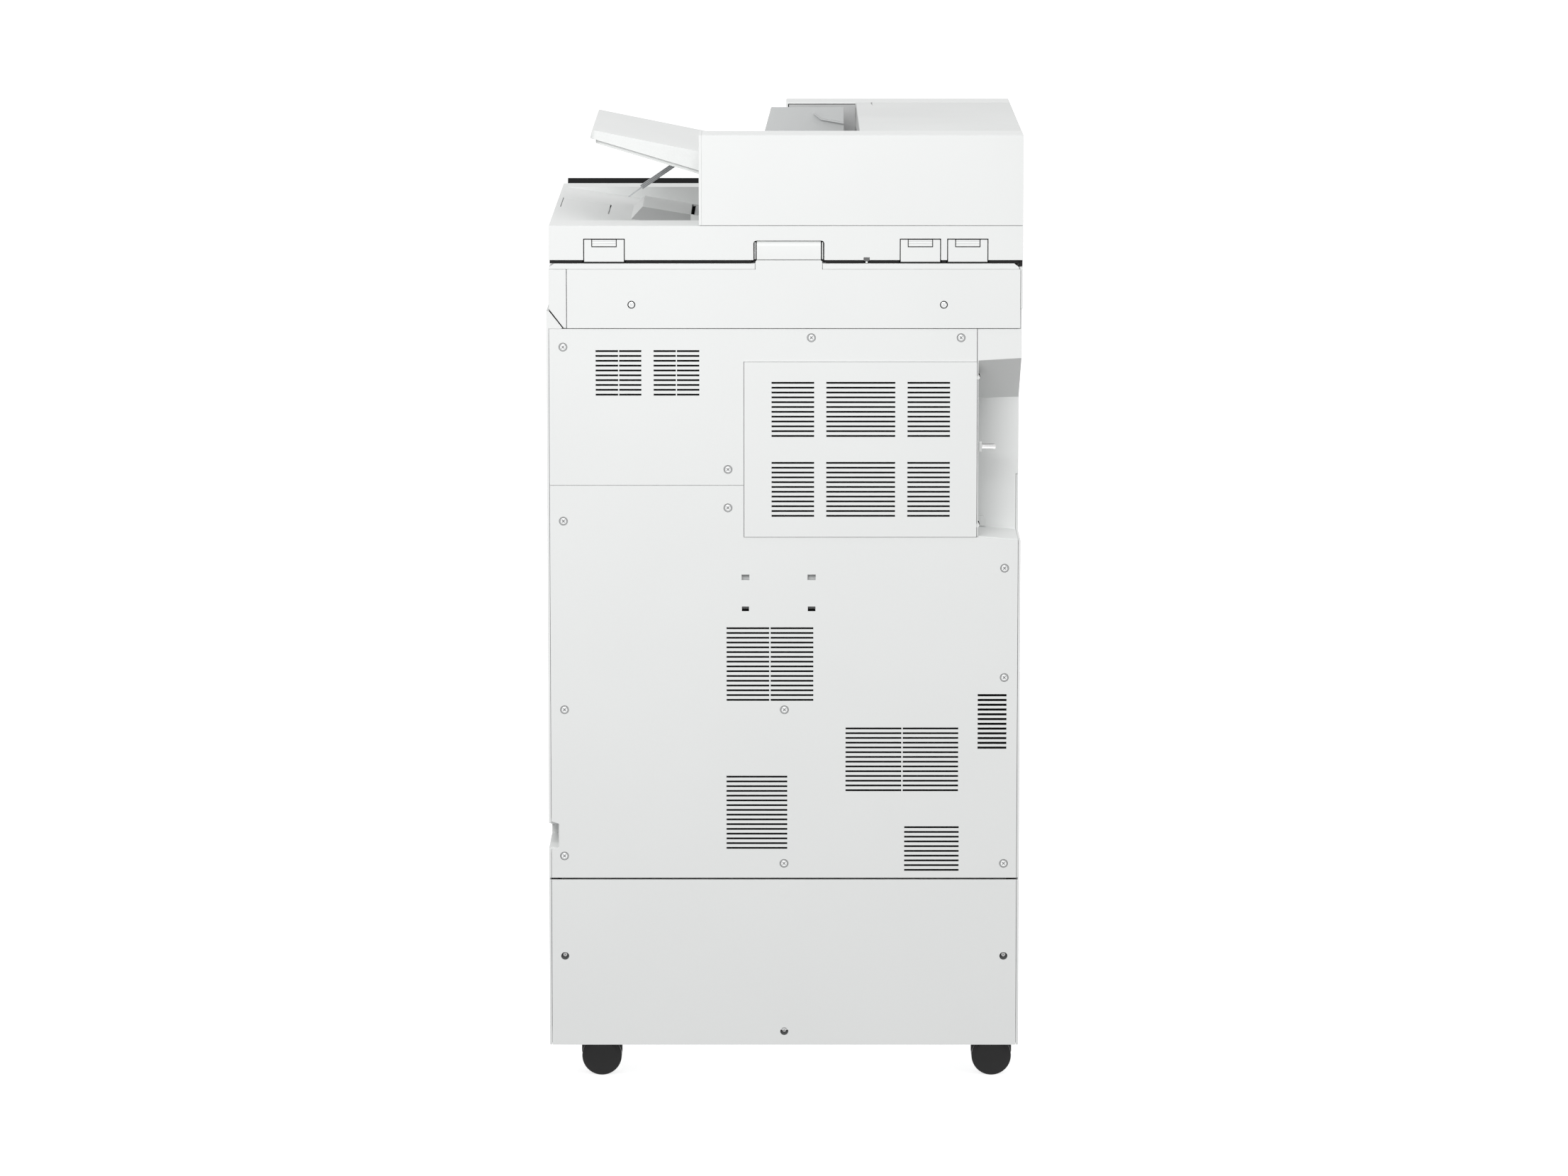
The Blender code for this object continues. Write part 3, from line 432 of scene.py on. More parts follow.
def screws(name, body, places, y_face, r, sink=0.35, mat="screw_steel"):
    """Pan head screws with a cross recess, seated in their counterbores."""
    def heads(bm):
        for x, z in places:
            prof = [(y_face - 3.6, 0), (y_face - 3.6, r * 0.86), (y_face - 2.2, r)]
            for k in range(1, 9):
                a = math.radians(90 * k / 8)
                prof.append((y_face - sink - 0.9 + 0.9 * math.sin(a), r * (0.74 + 0.26 * math.cos(a))))
            prof.append((y_face - sink, 0))
            lathe(bm, "y", (x, z), prof, 40)

    def cross(bm):
        for x, z in places:
            w, q = r * 0.13, r * 0.62
            pts = []
            for k in range(4):
                a = math.radians(45 + 90 * k)
                ca, sa = math.cos(a), math.sin(a)
                for u, v in ((w, -w), (q, -w * 0.6), (q, w * 0.6)):
                    pts.append((x + ca * u - sa * v, z + sa * u + ca * v))
            prism(bm, pts, "y", y_face - 2.4, y_face + 1)
    return made(name, body, mat, heads, 0.06, 1, slot="frame_steel", cuts=(cross,), angle=40)


# ------------------------------------------------------------------ finished copies of the CAD nodes
EDGE = {
    "pedestal_frame": 1.0, "main_frame": 1.0,
    "lid_base": 1.3, "adf_rear_cover": 1.6, "adf_front_cover": 1.6, "adf_feed_cover": 1.2,
    "front_door": 1.2, "cassette_1": 1.2, "cassette_2": 1.2, "cassette_3": 1.2, "right_door": 0.8,
    "delivery_tray": 1.0, "exit_housing": 1.0, "control_panel": 1.6, "touch_screen": 0.4,
    "rear_vent_cover": 0, "rear_lower_cover": 0, "rear_upper_cover": 0, "pedestal_rear_cover": 0,
    "reader_rear_cover": 0, "reader_side_cover": 0.8, "platen_frame": 0.5, "corner_cover": 0.6,
    "hinge_left": 0.5, "hinge_mid": 0.5, "hinge_right": 0.5,
}
LID_GRAIN = ("lid_base", "adf_feed_cover")
CUSTOM = set()
def end_groove(bm):
    block(bm, 101.55, 101.95, 369.3, 372.0, 1080, 1200)


def end_groove_top(bm):
    block(bm, 101.55, 101.95, 306.0, 369.5, 1194.3, 1197)


CUTS = {
    "adf_rear_cover": (end_groove, end_groove_top),
    "lid_base": (lambda bm: block(bm, -105.8, -98.4, 364, 372, 1039, 1043.7),),
    "platen_frame": (lambda bm: prism(bm, [(-291.5, 1037), (-284.0, 1037), (-284.6, 1036.0), (-291.5, 1030.6)],
                                      "y", 340, 380),
                     lambda bm: prism(bm, [(291.5, 1037), (284.0, 1037), (284.6, 1036.0), (291.5, 1030.6)],
                                      "y", 340, 380)),
    "rear_lower_cover": (bore_cut(LOWER, 5.5, 367.7, 372),),
    "rear_upper_cover": (bore_cut(UPPER, 5.5, 367.7, 372),),
    "reader_rear_cover": (bore_cut(READER_SCREWS, 4.9, 364, 372),),
}
DONE = []


def skin_all(skip=()):
    for n in sorted(nodes):
        if n in skip:
            continue
        mat = slots[n]
        if n in ("adf_feed_cover",):
            mat = "shell_grain"
        if n == "document_tray":
            mat = "tray_grain"
        if n.startswith("guide_"):
            mat = "guide_plastic"
        e = EDGE.get(n, 0.6)
        refined(n, mat, e, 2 if e < 1.2 else 3, cuts=CUTS.get(n, ()), angle=30.0 if e else 0.0)
        DONE.append(n)


# ------------------------------------------------------------------ casters
def wheel_profile(cy):
    prof = [(cy - 17.0, 0), (cy - 17.0, 15.0), (cy - 16.9, 18.0), (cy - 16.5, 20.4), (cy - 16.0, 21.6),
            (cy - 15.9, 22.0)]
    for k in range(0, 9):
        a = math.radians(90 * k / 8)
        prof.append((cy - 13.4 - 2.4 * math.cos(a), 22.5 + 2.5 * math.sin(a)))
    prof += [(cy - 6.2, 25.0), (cy - 5.0, 24.4), (cy - 4.8, 23.6), (cy - 4.8, 5.0), (cy - 4.4, 4.3),
             (cy, 4.3)]
    return prof + [(2 * cy - t, r) for t, r in prof[::-1][1:]]


TAGS = ("rear_right", "rear_left", "front_right", "front_left")
for tag in TAGS:
    lo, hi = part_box("caster_wheel_" + tag)
    cx, cy = (lo.x + hi.x) / 2 / MM, (lo.y + hi.y) / 2 / MM
    made("caster_wheel_%s_skin" % tag, "caster_wheel_" + tag, "wheel",
         lambda bm: lathe(bm, "y", (cx, 25.0), wheel_profile(cy), 96), 0, 2, angle=35,
         replaces=("caster_wheel_" + tag,))
    CUSTOM.add("caster_wheel_" + tag)

# ------------------------------------------------------------------ rollers, bottle, key, pin
lo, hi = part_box("toner_bottle")
bx, bz = (lo.x + hi.x) / 2 / MM, (lo.z + hi.z) / 2 / MM


def bottle(bm):
    y0, y1 = lo.y / MM, hi.y / MM
    prof = [(y0, 0), (y0, 26), (y0 + 1.5, 28), (y0 + 1.5, 40.5), (y0 + 3, 43.0), (y0 + 6, 44.0),
            (y0 + 22, 44.0), (y0 + 24, 42.0), (y0 + 30, 42.0)]
    y = y0 + 34
    while y < y1 - 30:
        for k in range(8):
            prof.append((y + 2.2 * k, 41.0 + 1.6 * math.sin(2 * math.pi * k / 8)))
        y += 17.6
    prof += [(y1 - 14, 42.0), (y1 - 8, 40.0), (y1 - 6, 30.0), (y1, 28.0), (y1, 0)]
    lathe(bm, "y", (bx, bz), prof, 72)


made("toner_bottle_skin", "chassis", "black_plastic", bottle, 0, angle=40, replaces=("toner_bottle",))
CUSTOM.add("toner_bottle")


def roller(name, body, groove):
    rlo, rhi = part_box(name)
    x, z = (rlo.x + rhi.x) / 2 / MM, (rlo.z + rhi.z) / 2 / MM
    r = (rhi.x - rlo.x) / 2 / MM
    y0, y1 = rlo.y / MM, rhi.y / MM
    if name == "feed_roller":
        a, b, rs = 60.0, 100.0, 3.0
    else:
        a, b, rs = -160.0, 170.0, 6.0

    def draw(bm):
        prof = [(y0, 0), (y0, rs - 0.4), (y0 + 0.4, rs), (a - 6, rs), (a - 6, rs * 1.5), (a - 0.2, rs * 1.5),
                (a - 0.2, r - 1.2), (a, r - 0.8), (a + 0.8, r)]
        if groove:
            y = a + 3
            while y < b - 3:
                prof += [(y, r), (y + 0.3, r - 0.5), (y + 1.2, r - 0.5), (y + 1.5, r)]
                y += 3.2
        prof += [(b - 0.8, r), (b, r - 0.8), (b, rs * 1.5), (b + 6, rs * 1.5), (b + 6, rs), (y1 - 0.4, rs),
                 (y1, rs - 0.4), (y1, 0)]
        lathe(bm, "y", (x, z), prof, 64)
    made(name + "_skin", body, "roller_rubber", draw, 0, angle=35, replaces=(name,))
    CUSTOM.add(name)


roller("feed_roller", "feed_roller", True)
roller("fixing_roller", "fixing_roller", False)

# docking pin: moulded base with a turned pin
def pin(bm):
    lathe(bm, "x", (350, 806.1), [(-244.6, 0), (-244.6, 3.7), (-261.6, 3.7), (-262.6, 3.2), (-263, 2.4), (-263, 0)], 40)


dp = made("docking_pin_skin", "chassis", "pin_metal", pin, 0, angle=35, slot="shell", replaces=("docking_pin",))
made("docking_pin_base", "chassis", "shell",
     lambda bm: block(bm, -246.0, -241.2, 343, 357, 799.4, 812.6), 1.8, 4)
CUSTOM.add("docking_pin")

skin_all(CUSTOM)

# ------------------------------------------------------------------ screws in place
screws("cover_screws", "chassis", BODY_SCREWS, 368.8, 4.0, 0.15)
screws("reader_screws", "chassis", READER_SCREWS, 370.0, 3.9)
screws("pedestal_screws", "chassis", [(x, z + 1.3) for x, z in PED_SCREWS], 366.0 - 0.8, 3.0, mat="screw_mid")


def cups(bm):
    # shallow cups behind the pedestal cover's screw holes, dark grey as painted shade inside the holes
    for x, z in PED_SCREWS:
        lathe(bm, "y", (x, z), [(361.2, 0), (361.2, 5.6), (365.9, 5.6), (365.9, 4.9), (362.0, 4.5), (362.0, 0)], 40)


made("pedestal_cups", "chassis", "cup_painted_shade", cups, 0, slot="black_plastic", angle=35)


# grey discs on the counterbore floors and dark rings at the bore edges and round the heads: painted shade in the
# counterbores
def counterbore_shade_discs(bm):
    for x, z in BODY_SCREWS:
        lathe(bm, "y", (x, z), [(367.95, 0), (367.95, 4.85), (368.1, 4.85), (368.1, 0)], 40)


def bore_edge_shade_rings(bm):
    for x, z in BODY_SCREWS:
        lathe(bm, "y", (x, z), [(367.75, 0), (367.75, 5.45), (367.9, 5.45), (367.9, 0)], 40)


def head_shade_rings(bm):
    for x, z in BODY_SCREWS:
        lathe(bm, "y", (x, z), [(368.12, 0), (368.12, 4.25), (368.2, 4.25), (368.2, 0)], 40)


made("screw_counterbore_shade", "chassis", "counterbore_painted_shade", counterbore_shade_discs, 0, slot="frame_steel", angle=35)
made("screw_bore_edge_shade", "chassis", "rim_painted_shade", bore_edge_shade_rings, 0, slot="frame_steel", angle=35)
made("screw_head_shade_rings", "chassis", "rim_painted_shade", head_shade_rings, 0, slot="frame_steel", angle=35)


# black discs behind the reader screws' through holes: painted shade in the gap round each head
def reader_screw_shade_discs(bm):
    for x, z in READER_SCREWS:
        drum(bm, "y", (x, z), 365.85, 366.3, 6.0, 24)


made("reader_screw_painted_shade", "chassis", "liner", reader_screw_shade_discs, 0, slot="black_plastic")

# ------------------------------------------------------------------ black trays behind the louvres: painted shade behind the slots
PITCH, SLOT = 6.03, 2.35
GROUPS = [(104.8, 233.3, 927.3, 10, SLOT), (-36.6, 71.6, 580.1, 16, SLOT), (-4.1, 71.9, 392.3, 16, SLOT),
          (-217.5, -76.8, 453.5, 14, SLOT), (-218.5, -150.3, 328.1, 10, SLOT), (-277.6, -241.6, 495.5, 12, 2.85)]


def liner(bm, x0, x1, z0, z1, y0, y1, t=0.8):
    """Open-fronted tray."""
    outer = [(x0, z0), (x1, z0), (x1, z1), (x0, z1)]
    inner = [(x0 + t, z0 + t), (x1 - t, z0 + t), (x1 - t, z1 - t), (x0 + t, z1 - t)]
    ring = []
    for pts, y in ((outer, y0), (outer, y1), (inner, y1), (inner, y0 + t)):
        ring.append([bm.verts.new(Vector((px, y, pz)) * MM) for px, pz in pts])
    bm.faces.new(ring[0])
    for a, b in zip(ring, ring[1:]):
        for k in range(4):
            j = (k + 1) % 4
            bm.faces.new((a[k], a[j], b[j], b[k]))
    bm.faces.new(ring[3][::-1])


def louvre_shade_trays(bm):
    for x0, x1, zt, n, s in GROUPS:
        liner(bm, x0 - 3, x1 + 3, zt - (n - 1) * PITCH - s / 2 - 3, zt + s / 2 + 3, 356.0, 365.7)


made("louvre_painted_shade", "chassis", "liner", louvre_shade_trays, 0, slot="black_plastic")
COLUMNS = [((205.4, 233.3), (176.6, 204.1), (133.9, 161.5), (104.8, 132.6)),
           ((18.4, 71.6), (-36.6, 16.7)), ((-4.1, 71.9),), ((-146.6, -76.8), (-217.5, -148.2)),
           ((-218.5, -150.3),), ((-277.6, -241.6),)]


def louvre_shade_fill(bm):
    # black blocks fill the slots just under the surface: painted shade inside the slots
    for (gx0, gx1, zt, n, s), cols in zip(GROUPS, COLUMNS):
        for x0, x1 in cols:
            for k in range(n):
                z = zt - k * PITCH
                block(bm, x0 + 0.03, x1 - 0.03, 364.5, 368.7, z - s / 2 + 0.03, z + s / 2 - 0.03)
    for zt in (887.9, 787.9):
        for x0, x1 in ((-37.4, 15.5), (-137.9, -52.4), (-205.8, -153.0)):
            for k in range(12):
                z = zt - k * PITCH
                block(bm, x0 + 0.03, x1 - 0.03, 366.0, 369.8, z - SLOT / 2 + 0.03, z + SLOT / 2 - 0.03)


made("louvre_slot_painted_shade", "chassis", "liner", louvre_shade_fill, 0, slot="black_plastic")
# black tray behind the vent cover: painted shade behind its slots
made("vent_painted_shade", "chassis", "liner",
     lambda bm: liner(bm, -233, 43.5, 701, 907, 354.0, 367.2), 0, slot="black_plastic")

# four rectangular slots: grey pockets, the lower two half painted black as shade
def pockets(bm):
    for x0, x1, z0, z1 in ((43.1, 52.7, 640.7, 647.7), (-39.4, -29.3, 640.7, 647.7),
                           (43.6, 52.4, 601.4, 607.5), (-39.1, -29.6, 601.4, 607.5)):
        liner(bm, x0 - 1, x1 + 1, z0 - 1, z1 + 1, 361.0, 365.8)


made("slot_pockets", "chassis", "inner_plastic", pockets, 0)


def pocket_shade_blocks(bm):
    # black blocks over the lower half of the lower two pockets: painted shade
    for x0, x1, z0, z1 in ((43.6, 52.4, 601.4, 607.5), (-39.1, -29.6, 601.4, 607.5)):
        block(bm, x0 - 0.1, x1 + 0.1, 365.9, 366.8, z0 - 0.1, z0 + 3.1)


made("slot_painted_shade", "chassis", "liner", pocket_shade_blocks, 0, slot="black_plastic")

# ------------------------------------------------------------------ small rear details
LID_HINGES = ((196.6, 247.9), (-193.9, -143.0), (-252.4, -201.5))


def hinge_gap_shade(bm):
    # black blocks in the gaps round each hinge cover: painted shade in the pocket
    for x0, x1 in LID_HINGES:
        m = (x0 + x1) / 2
        block(bm, x0 + 0.04, x0 + 1.06, 347.2, 369.0, 1038.4, 1066.9)
        block(bm, x1 - 1.06, x1 - 0.04, 347.2, 369.0, 1038.4, 1066.9)
        block(bm, x0 + 1.1, x1 - 1.1, 347.2, 369.0, 1065.86, 1066.9)
        # black blocks round the clip: painted shade in its recess
        block(bm, m - 15.5, m - 14.7, 366.6, 369.2, 1056.5, 1065.8)
        block(bm, m + 14.7, m + 15.5, 366.6, 369.2, 1056.5, 1065.8)
        block(bm, m - 14.6, m + 14.6, 366.6, 369.2, 1056.5, 1057.2)


made("hinge_gap_shade", "lid", "liner", hinge_gap_shade, 0, slot="black_plastic")


def clips(bm):
    for x0, x1 in LID_HINGES:
        m = (x0 + x1) / 2
        pts = [(366.6, 1057.4), (369.0, 1057.4), (369.4, 1057.9), (369.4, 1058.9), (368.9, 1059.4), (368.9, 1060.4),
               (369.5, 1060.9), (369.5, 1062.0), (369.0, 1062.5), (369.0, 1063.4), (369.5, 1063.9), (369.4, 1065.0),
               (368.8, 1065.6), (366.6, 1065.6)]
        prism(bm, pts, "x", m - 14.6, m + 14.6)


made("hinge_clips", "lid", "shell", clips, 0.12, 2)


def seal(bm):
    for x0, x1 in ((249.0, 289.6), (40.5, 195.6), (-98.0, -52.0), (-142.0, -106.2), (-290.2, -253.4), (-200.6, -194.8)):
        block(bm, x0, x1, 345, 367.6, 1036.35, 1040.35)
    for x0, x1 in LID_HINGES:
        block(bm, x0 + 0.1, x1 - 0.1, 349, 368.6, 1036.35, 1038.2)
    block(bm, -294.7, -290.8, 330, 367.0, 1033.0, 1040.3)


made("rear_seal", "lid", "foam", seal, 0.2, slot="black_plastic")
made("gap_spacer", "lid", "spacer",
     lambda bm: prism(bm, [(-105.7, 1039.2), (-98.5, 1039.2), (-98.5, 1043.1), (-99.3, 1043.6), (-104.9, 1043.6),
                           (-105.7, 1043.1)], "y", 364.2, 369.0), 0.3, slot="black_plastic")
made("gap_spacer_tip", "lid", "shell", lambda bm: block(bm, -103.4, -100.8, 362.2, 368.6, 1036.6, 1039.0), 0.4)


def arch_ribs(bm):
    # thin ribs standing in the gaps between the lid's arch and the cable cover
    for x in (35.75, -47.65):
        block(bm, x - 0.55, x + 0.55, 345, 369.0, 1041.5, 1062.4)


made("arch_ribs", "lid", "shell", arch_ribs, 0.15)


def hump_slot_shade_fill(bm):
    # black blocks filling the slot in the hump: painted shade
    block(bm, 106.55, 118.45, -35.5, 102.5, 1060.05, 1061.5)
    block(bm, 117.6, 118.45, -35.5, 102.5, 1061.6, 1071.0)
    block(bm, 106.6, 117.5, -35.5, -34.0, 1061.6, 1069.0)


def flag_lever(bm):
    # rounded sensor flag standing in the slot
    lathe(bm, "y", (110.9, 1066.0), [(-33.0, 0), (-33.0, 4.1), (99.0, 4.1), (101.5, 2.5), (101.5, 0)], 40)


made("hump_slot_painted_shade", "lid", "liner", hump_slot_shade_fill, 0, slot="black_plastic")
made("sensor_flag", "lid", "inner_plastic", flag_lever, 0, angle=35)


def flap_lines(bm):
    # black strips in the seams along both sides of the stopper flap: painted shade in the seams
    for y0, y1 in ((-15.9, -15.1), (112.1, 112.9)):
        pts = [(284.5, low_floor(284.5) - 3.5), (284.5, low_floor(284.5) - 0.5), (222.7, low_floor(222.7) - 0.5),
               (222.7, low_floor(222.7) - 3.5)]
        prism(bm, pts, "y", y0, y1)


def low_floor(x):
    return 1082.8 - (286.0 - x) * 0.1548


made("flap_seams", "lid", "liner", flap_lines, 0, slot="black_plastic")


def diagonal_gap(bm):
    # black strip inside the diagonal gap between the covers: painted shade in the gap
    prism(bm, [(290.3, 976.9), (290.8, 979.0), (273.1, 956.2), (274.2, 956.4)], "y", 340, 368.2)


made("diagonal_seam", "chassis", "liner", diagonal_gap, 0, slot="black_plastic")


def feeder_marks(bm):
    # dark lens-shaped plug in the seam below the feeder cover
    prism(bm, [(-59.5, 1083.9), (-45.5, 1083.9), (-46.2, 1082.95), (-47.4, 1082.8), (-57.6, 1082.8), (-58.8, 1082.95)],
          "y", 366.0, 369.7)


made("feeder_seam_plug", "lid", "black_plastic", feeder_marks, 0)


def feeder_shade_panel(bm):
    # grey plate on the inner wall of the front housing, seen beyond the side guides: painted shade on that wall
    prism(bm, [(-93.2, 1121.0), (-8.0, 1121.0), (-6.6, 1122.4), (-6.6, 1192.2), (-93.2, 1192.2)], "y", -143.9, -143.3)


def feeder_panel_edge(bm):
    # dark shadow gap round that wall
    block(bm, -93.2, -5.4, -143.92, -143.5, 1192.25, 1193.1)
    block(bm, -6.5, -5.4, -143.92, -143.5, 1121.0, 1192.2)


def entry_shade_panel(bm):
    # grey plate on the end wall of the opening cover, with the curved edge of the entry guide: painted shade on that
    # wall
    prism(bm, [(-139.0, 1151.0), (300.0, 1151.0), (300.0, 1191.0), (-137.0, 1191.0), (-139.0, 1189.0)], "x", -93.95, -93.5)


def entry_edge(bm):
    # dark strips along the curved edge of the entry guide: painted shade of the edge
    prism(bm, [(-128.0, 1153.0), (-119.0, 1166.0), (-121.0, 1176.0), (-132.0, 1189.0), (-129.5, 1189.0),
               (-117.5, 1176.5), (-115.5, 1166.0), (-125.0, 1153.0)], "x", -93.45, -93.1)
    prism(bm, [(-60.0, 1153.0), (-20.0, 1171.0), (-17.0, 1171.0), (-56.0, 1153.0)], "x", -93.45, -93.1)


def catch_hole_shade(bm):
    # dark patch on the surface standing for a small catch hole near the far end of the opening cover: painted shade of
    # the hole
    prism(bm, [(-113.5, -142.0), (-113.2, -132.0), (-113.9, -112.0), (-115.0, -96.0), (-115.4, -96.0), (-114.6, -112.0),
               (-115.2, -132.0), (-115.2, -142.0)], "z", 1194.2, 1195.04)


made("feeder_wall_painted_shade", "lid", "inner_painted_shade", feeder_shade_panel, 0.1, slot="inner_plastic")
made("feeder_wall_gap", "lid", "liner", feeder_panel_edge, 0, slot="black_plastic")
made("entry_wall_painted_shade", "feed_cover", "inner_painted_shade", entry_shade_panel, 0.1, slot="inner_plastic")
made("entry_guide_edge_shade", "feed_cover", "dark_painted_shade", entry_edge, 0, slot="inner_plastic")
made("cover_catch_hole_shade", "feed_cover", "dark_painted_shade", catch_hole_shade, 0, slot="inner_plastic")


def recess_bits(bm):
    # raised pad low on the back wall, with a chamfered corner
    prism(bm, [(-252.7, 695.6), (-241.2, 695.6), (-241.2, 708.2), (-250.6, 708.2), (-252.7, 706.1)], "y", 274.05, 276.2)


made("recess_pad", "chassis", "shell", recess_bits, 0.5)


def knockouts(bm):
    # shallow moulded marks on the pedestal's rear cover
    lathe(bm, "y", (0.0, 247.0), [(368.75, 0), (368.75, 7.0), (368.92, 7.0), (368.92, 0)], 48)
    block(bm, 18.7, 57.8, 368.7, 368.9, 119.3, 119.9)


made("cover_marks", "chassis", "shell", knockouts, 0.04, 1)
FACE_N = Vector((-0.1388, 0.5344, 0.8337))


def on_face(x, z, off):
    y = 174.5 + (2214.45 * (x - 218.0) - 13300.0 * (z - 1046.0)) / 8525.4
    return (Vector((x, y, z)) + FACE_N * off) * MM


def ramp_face_shade_plate(bm):
    # grey textured plate on the slanted side of the stacking ramp: painted shade on that face
    pts = [(193.7, low_floor(193.7) + 0.25), (180.0, 1082.0), (118.8, 1071.8), (118.8, low_floor(118.8) + 0.25)]
    low = [bm.verts.new(on_face(x, z, 0.03)) for x, z in pts]
    high = [bm.verts.new(on_face(x, z, 0.3)) for x, z in pts]
    bm.faces.new(low)
    bm.faces.new(high[::-1])
    for i in range(4):
        j = (i + 1) % 4
        bm.faces.new((low[i], high[i], high[j], low[j]))


made("ramp_face_painted_shade", "lid", "ramp_painted_shade", ramp_face_shade_plate, 0, slot="inner_plastic")


def half_round(bm):
    for z in (894.0, 709.0):
        lathe(bm, "y", (-240.3, z), [(352.4, 0), (352.4, 2.4), (367.8, 2.4), (368.3, 2.0), (368.3, 0)], 40)


def clip_shade_rings(bm):
    # black rings behind the half-round clips: painted shade round them
    for z in (894.0, 709.0):
        lathe(bm, "y", (-240.3, z), [(340.4, 0), (340.4, 3.1), (352.0, 3.1), (352.0, 0)], 40)


made("recess_clips", "chassis", "shell", half_round, 0, angle=35)
made("recess_clip_shade_rings", "chassis", "liner", clip_shade_rings, 0, slot="black_plastic", angle=35)


# ------------------------------------------------------------------ front and side details
def delivery_wall(bm):
    # back wall of the delivery space, stiffened by upright ribs
    block(bm, -237.2, 105.0, 265.7, 267.3, 766.0, 953.6)
    for x in (-180.0, -100.0, -20.0, 60.0):
        prism(bm, [(x - 2.2, 265.8), (x - 1.2, 264.9), (x + 1.2, 264.9), (x + 2.2, 265.8)], "z", 782.0, 938.0)


made("delivery_back_wall", "chassis", "inner_plastic", delivery_wall, 0.3)


def delivery_ribs(bm):
    # long ribs that hold the printed sheets off the sloping floor
    for y in (-196, -120, -44, 32, 108, 184):
        pts = [(52.0, 707.3), (-226.0, 762.9), (-222.0, 763.6), (48.0, 709.6)]
        prism(bm, pts, "y", y - 1.1, y + 1.1)


made("delivery_ribs", "chassis", "inner_plastic", delivery_ribs, 0.25)


def exit_lips(bm):
    # rounded lips over and under the paper exit slot
    prism(bm, [(105.3, 768.2), (102.4, 769.4), (102.4, 771.2), (105.3, 773.2)], "y", -168, 178)
    prism(bm, [(105.3, 737.2), (102.0, 739.0), (102.0, 740.9), (105.3, 741.8)], "y", -168, 178)


made("exit_lips", "chassis", "inner_plastic", exit_lips, 0.4)


def exit_wheels(bm):
    for y in (-130, -90, -30, 10, 50, 110, 150):
        lathe(bm, "y", (111.5, 764.0), [(y - 4, 0), (y - 4, 2.6), (y - 3.4, 3.1), (y + 3.4, 3.1), (y + 4, 2.6), (y + 4, 0)], 24)


made("exit_wheels", "chassis", "roller_rubber", exit_wheels, 0, angle=35)

DRAWERS = (("cassette_1", 395.0, 364.0, 462.6), ("cassette_2", 295.0, 264.2, 362.2), ("cassette_3", 188.0, 53.5, 261.4))


def window_frame(z):
    def draw(bm):
        prism(bm, [(238, z - 7), (262, z - 7), (264, z - 5), (264, z + 5), (262, z + 7), (238, z + 7), (236, z + 5),
                   (236, z - 5)], "y", -270.6, -269.4)
    return draw


def window_lens(z):
    def draw(bm):
        for k in range(4):
            block(bm, 239.2 + 5.8 * k, 243.6 + 5.8 * k, -270.9, -270.2, z - 4.2, z + 4.2)
    return draw


def pull_lip(z):
    def draw(bm):
        # rounded lip that hangs over the finger scoop
        prism(bm, [(-269.8, z + 25.6), (-266.2, z + 26.3), (-266.2, z + 24.4), (-268.9, z + 23.0), (-269.8, z + 23.6)],
              "x", -71.6, 71.6)
    return draw


for cname, cz, z0, z1 in DRAWERS:
    made(cname + "_window", cname, "black_plastic", window_frame(cz + 12), 0.3)
    made(cname + "_window_bars", cname, "key_plastic", window_lens(cz + 12), 0.15)
    made(cname + "_pull_lip", cname, "shell", pull_lip(cz), 0.3)


def paper(half, z0, z1):
    def draw(bm):
        # reams laid one on another, each a little out of line with the next
        n = max(3, int((z1 - z0) / 7.5))
        h = (z1 - z0) / n
        for k in range(n):
            dx, dy = 0.5 * math.sin(2.1 * k), 0.7 * math.cos(1.7 * k)
            block(bm, -half + dx, half + dx, -160 + dy, 137 + dy, z0 + k * h, z0 + (k + 1) * h - 0.12)
    return draw


def lift_plate(half, z):
    def draw(bm):
        # lifting plate with its turned up edge; the real plate is perforated, drawn here without holes
        block(bm, -half, half, -238, 240, z, z + 1.2)
        block(bm, -half, half, 238.8, 240, z + 1.3, z + 5)
    return draw


for cname, half, z in (("cassette_1", 250, 374.5), ("cassette_2", 250, 280.5), ("cassette_3", 258, 84.0)):
    made(cname + "_lift_plate", cname, "frame_steel", lift_plate(half, z), 0.2)
    made(cname + "_paper", cname, "sheets", paper(210.0, z + 1.6, z + 1.6 + (90 if cname == "cassette_3" else 32)), 0.15,
         slot="pad")

    def fences(bm, z=z, half=half):
        # side fences beside the stack
        for s in (-1, 1):
            x0, x1 = sorted((s * 211.5, s * 214.0))
            block(bm, x0, x1, -120, 120, z + 1.6, z + 50)
            x0, x1 = sorted((s * 214.2, s * 232.0))
            block(bm, x0, x1, -30, 30, z + 1.6, z + 4.0)
            y0, y1 = (-164.4, -161.4) if s < 0 else (138.4, 141.4)
            block(bm, -70, 70, y0, y1, z + 1.6, z + 54)
            y0, y1 = (-196.0, -164.6) if s < 0 else (141.6, 173.0)
            block(bm, -24, 24, y0, y1, z + 1.6, z + 4.0)
    made(cname + "_fences", cname, "black_plastic", fences, 0.4)


def status_bar(bm):
    prism(bm, [(-276, 994), (-232, 994), (-230.5, 995.5), (-230.5, 998.5), (-232, 1000), (-276, 1000), (-277.5, 998.5),
               (-277.5, 995.5)], "y", -226.3, -224.4)


made("status_light", "chassis", "key_plastic", status_bar, 0.3)


def port_cover(bm):
    prism(bm, [(196, 985), (228, 985), (229.5, 986.5), (229.5, 1000.5), (228, 1002), (196, 1002), (194.5, 1000.5),
               (194.5, 986.5)], "y", -226.2, -224.4)


made("port_cover", "chassis", "inner_plastic", port_cover, 0.4)


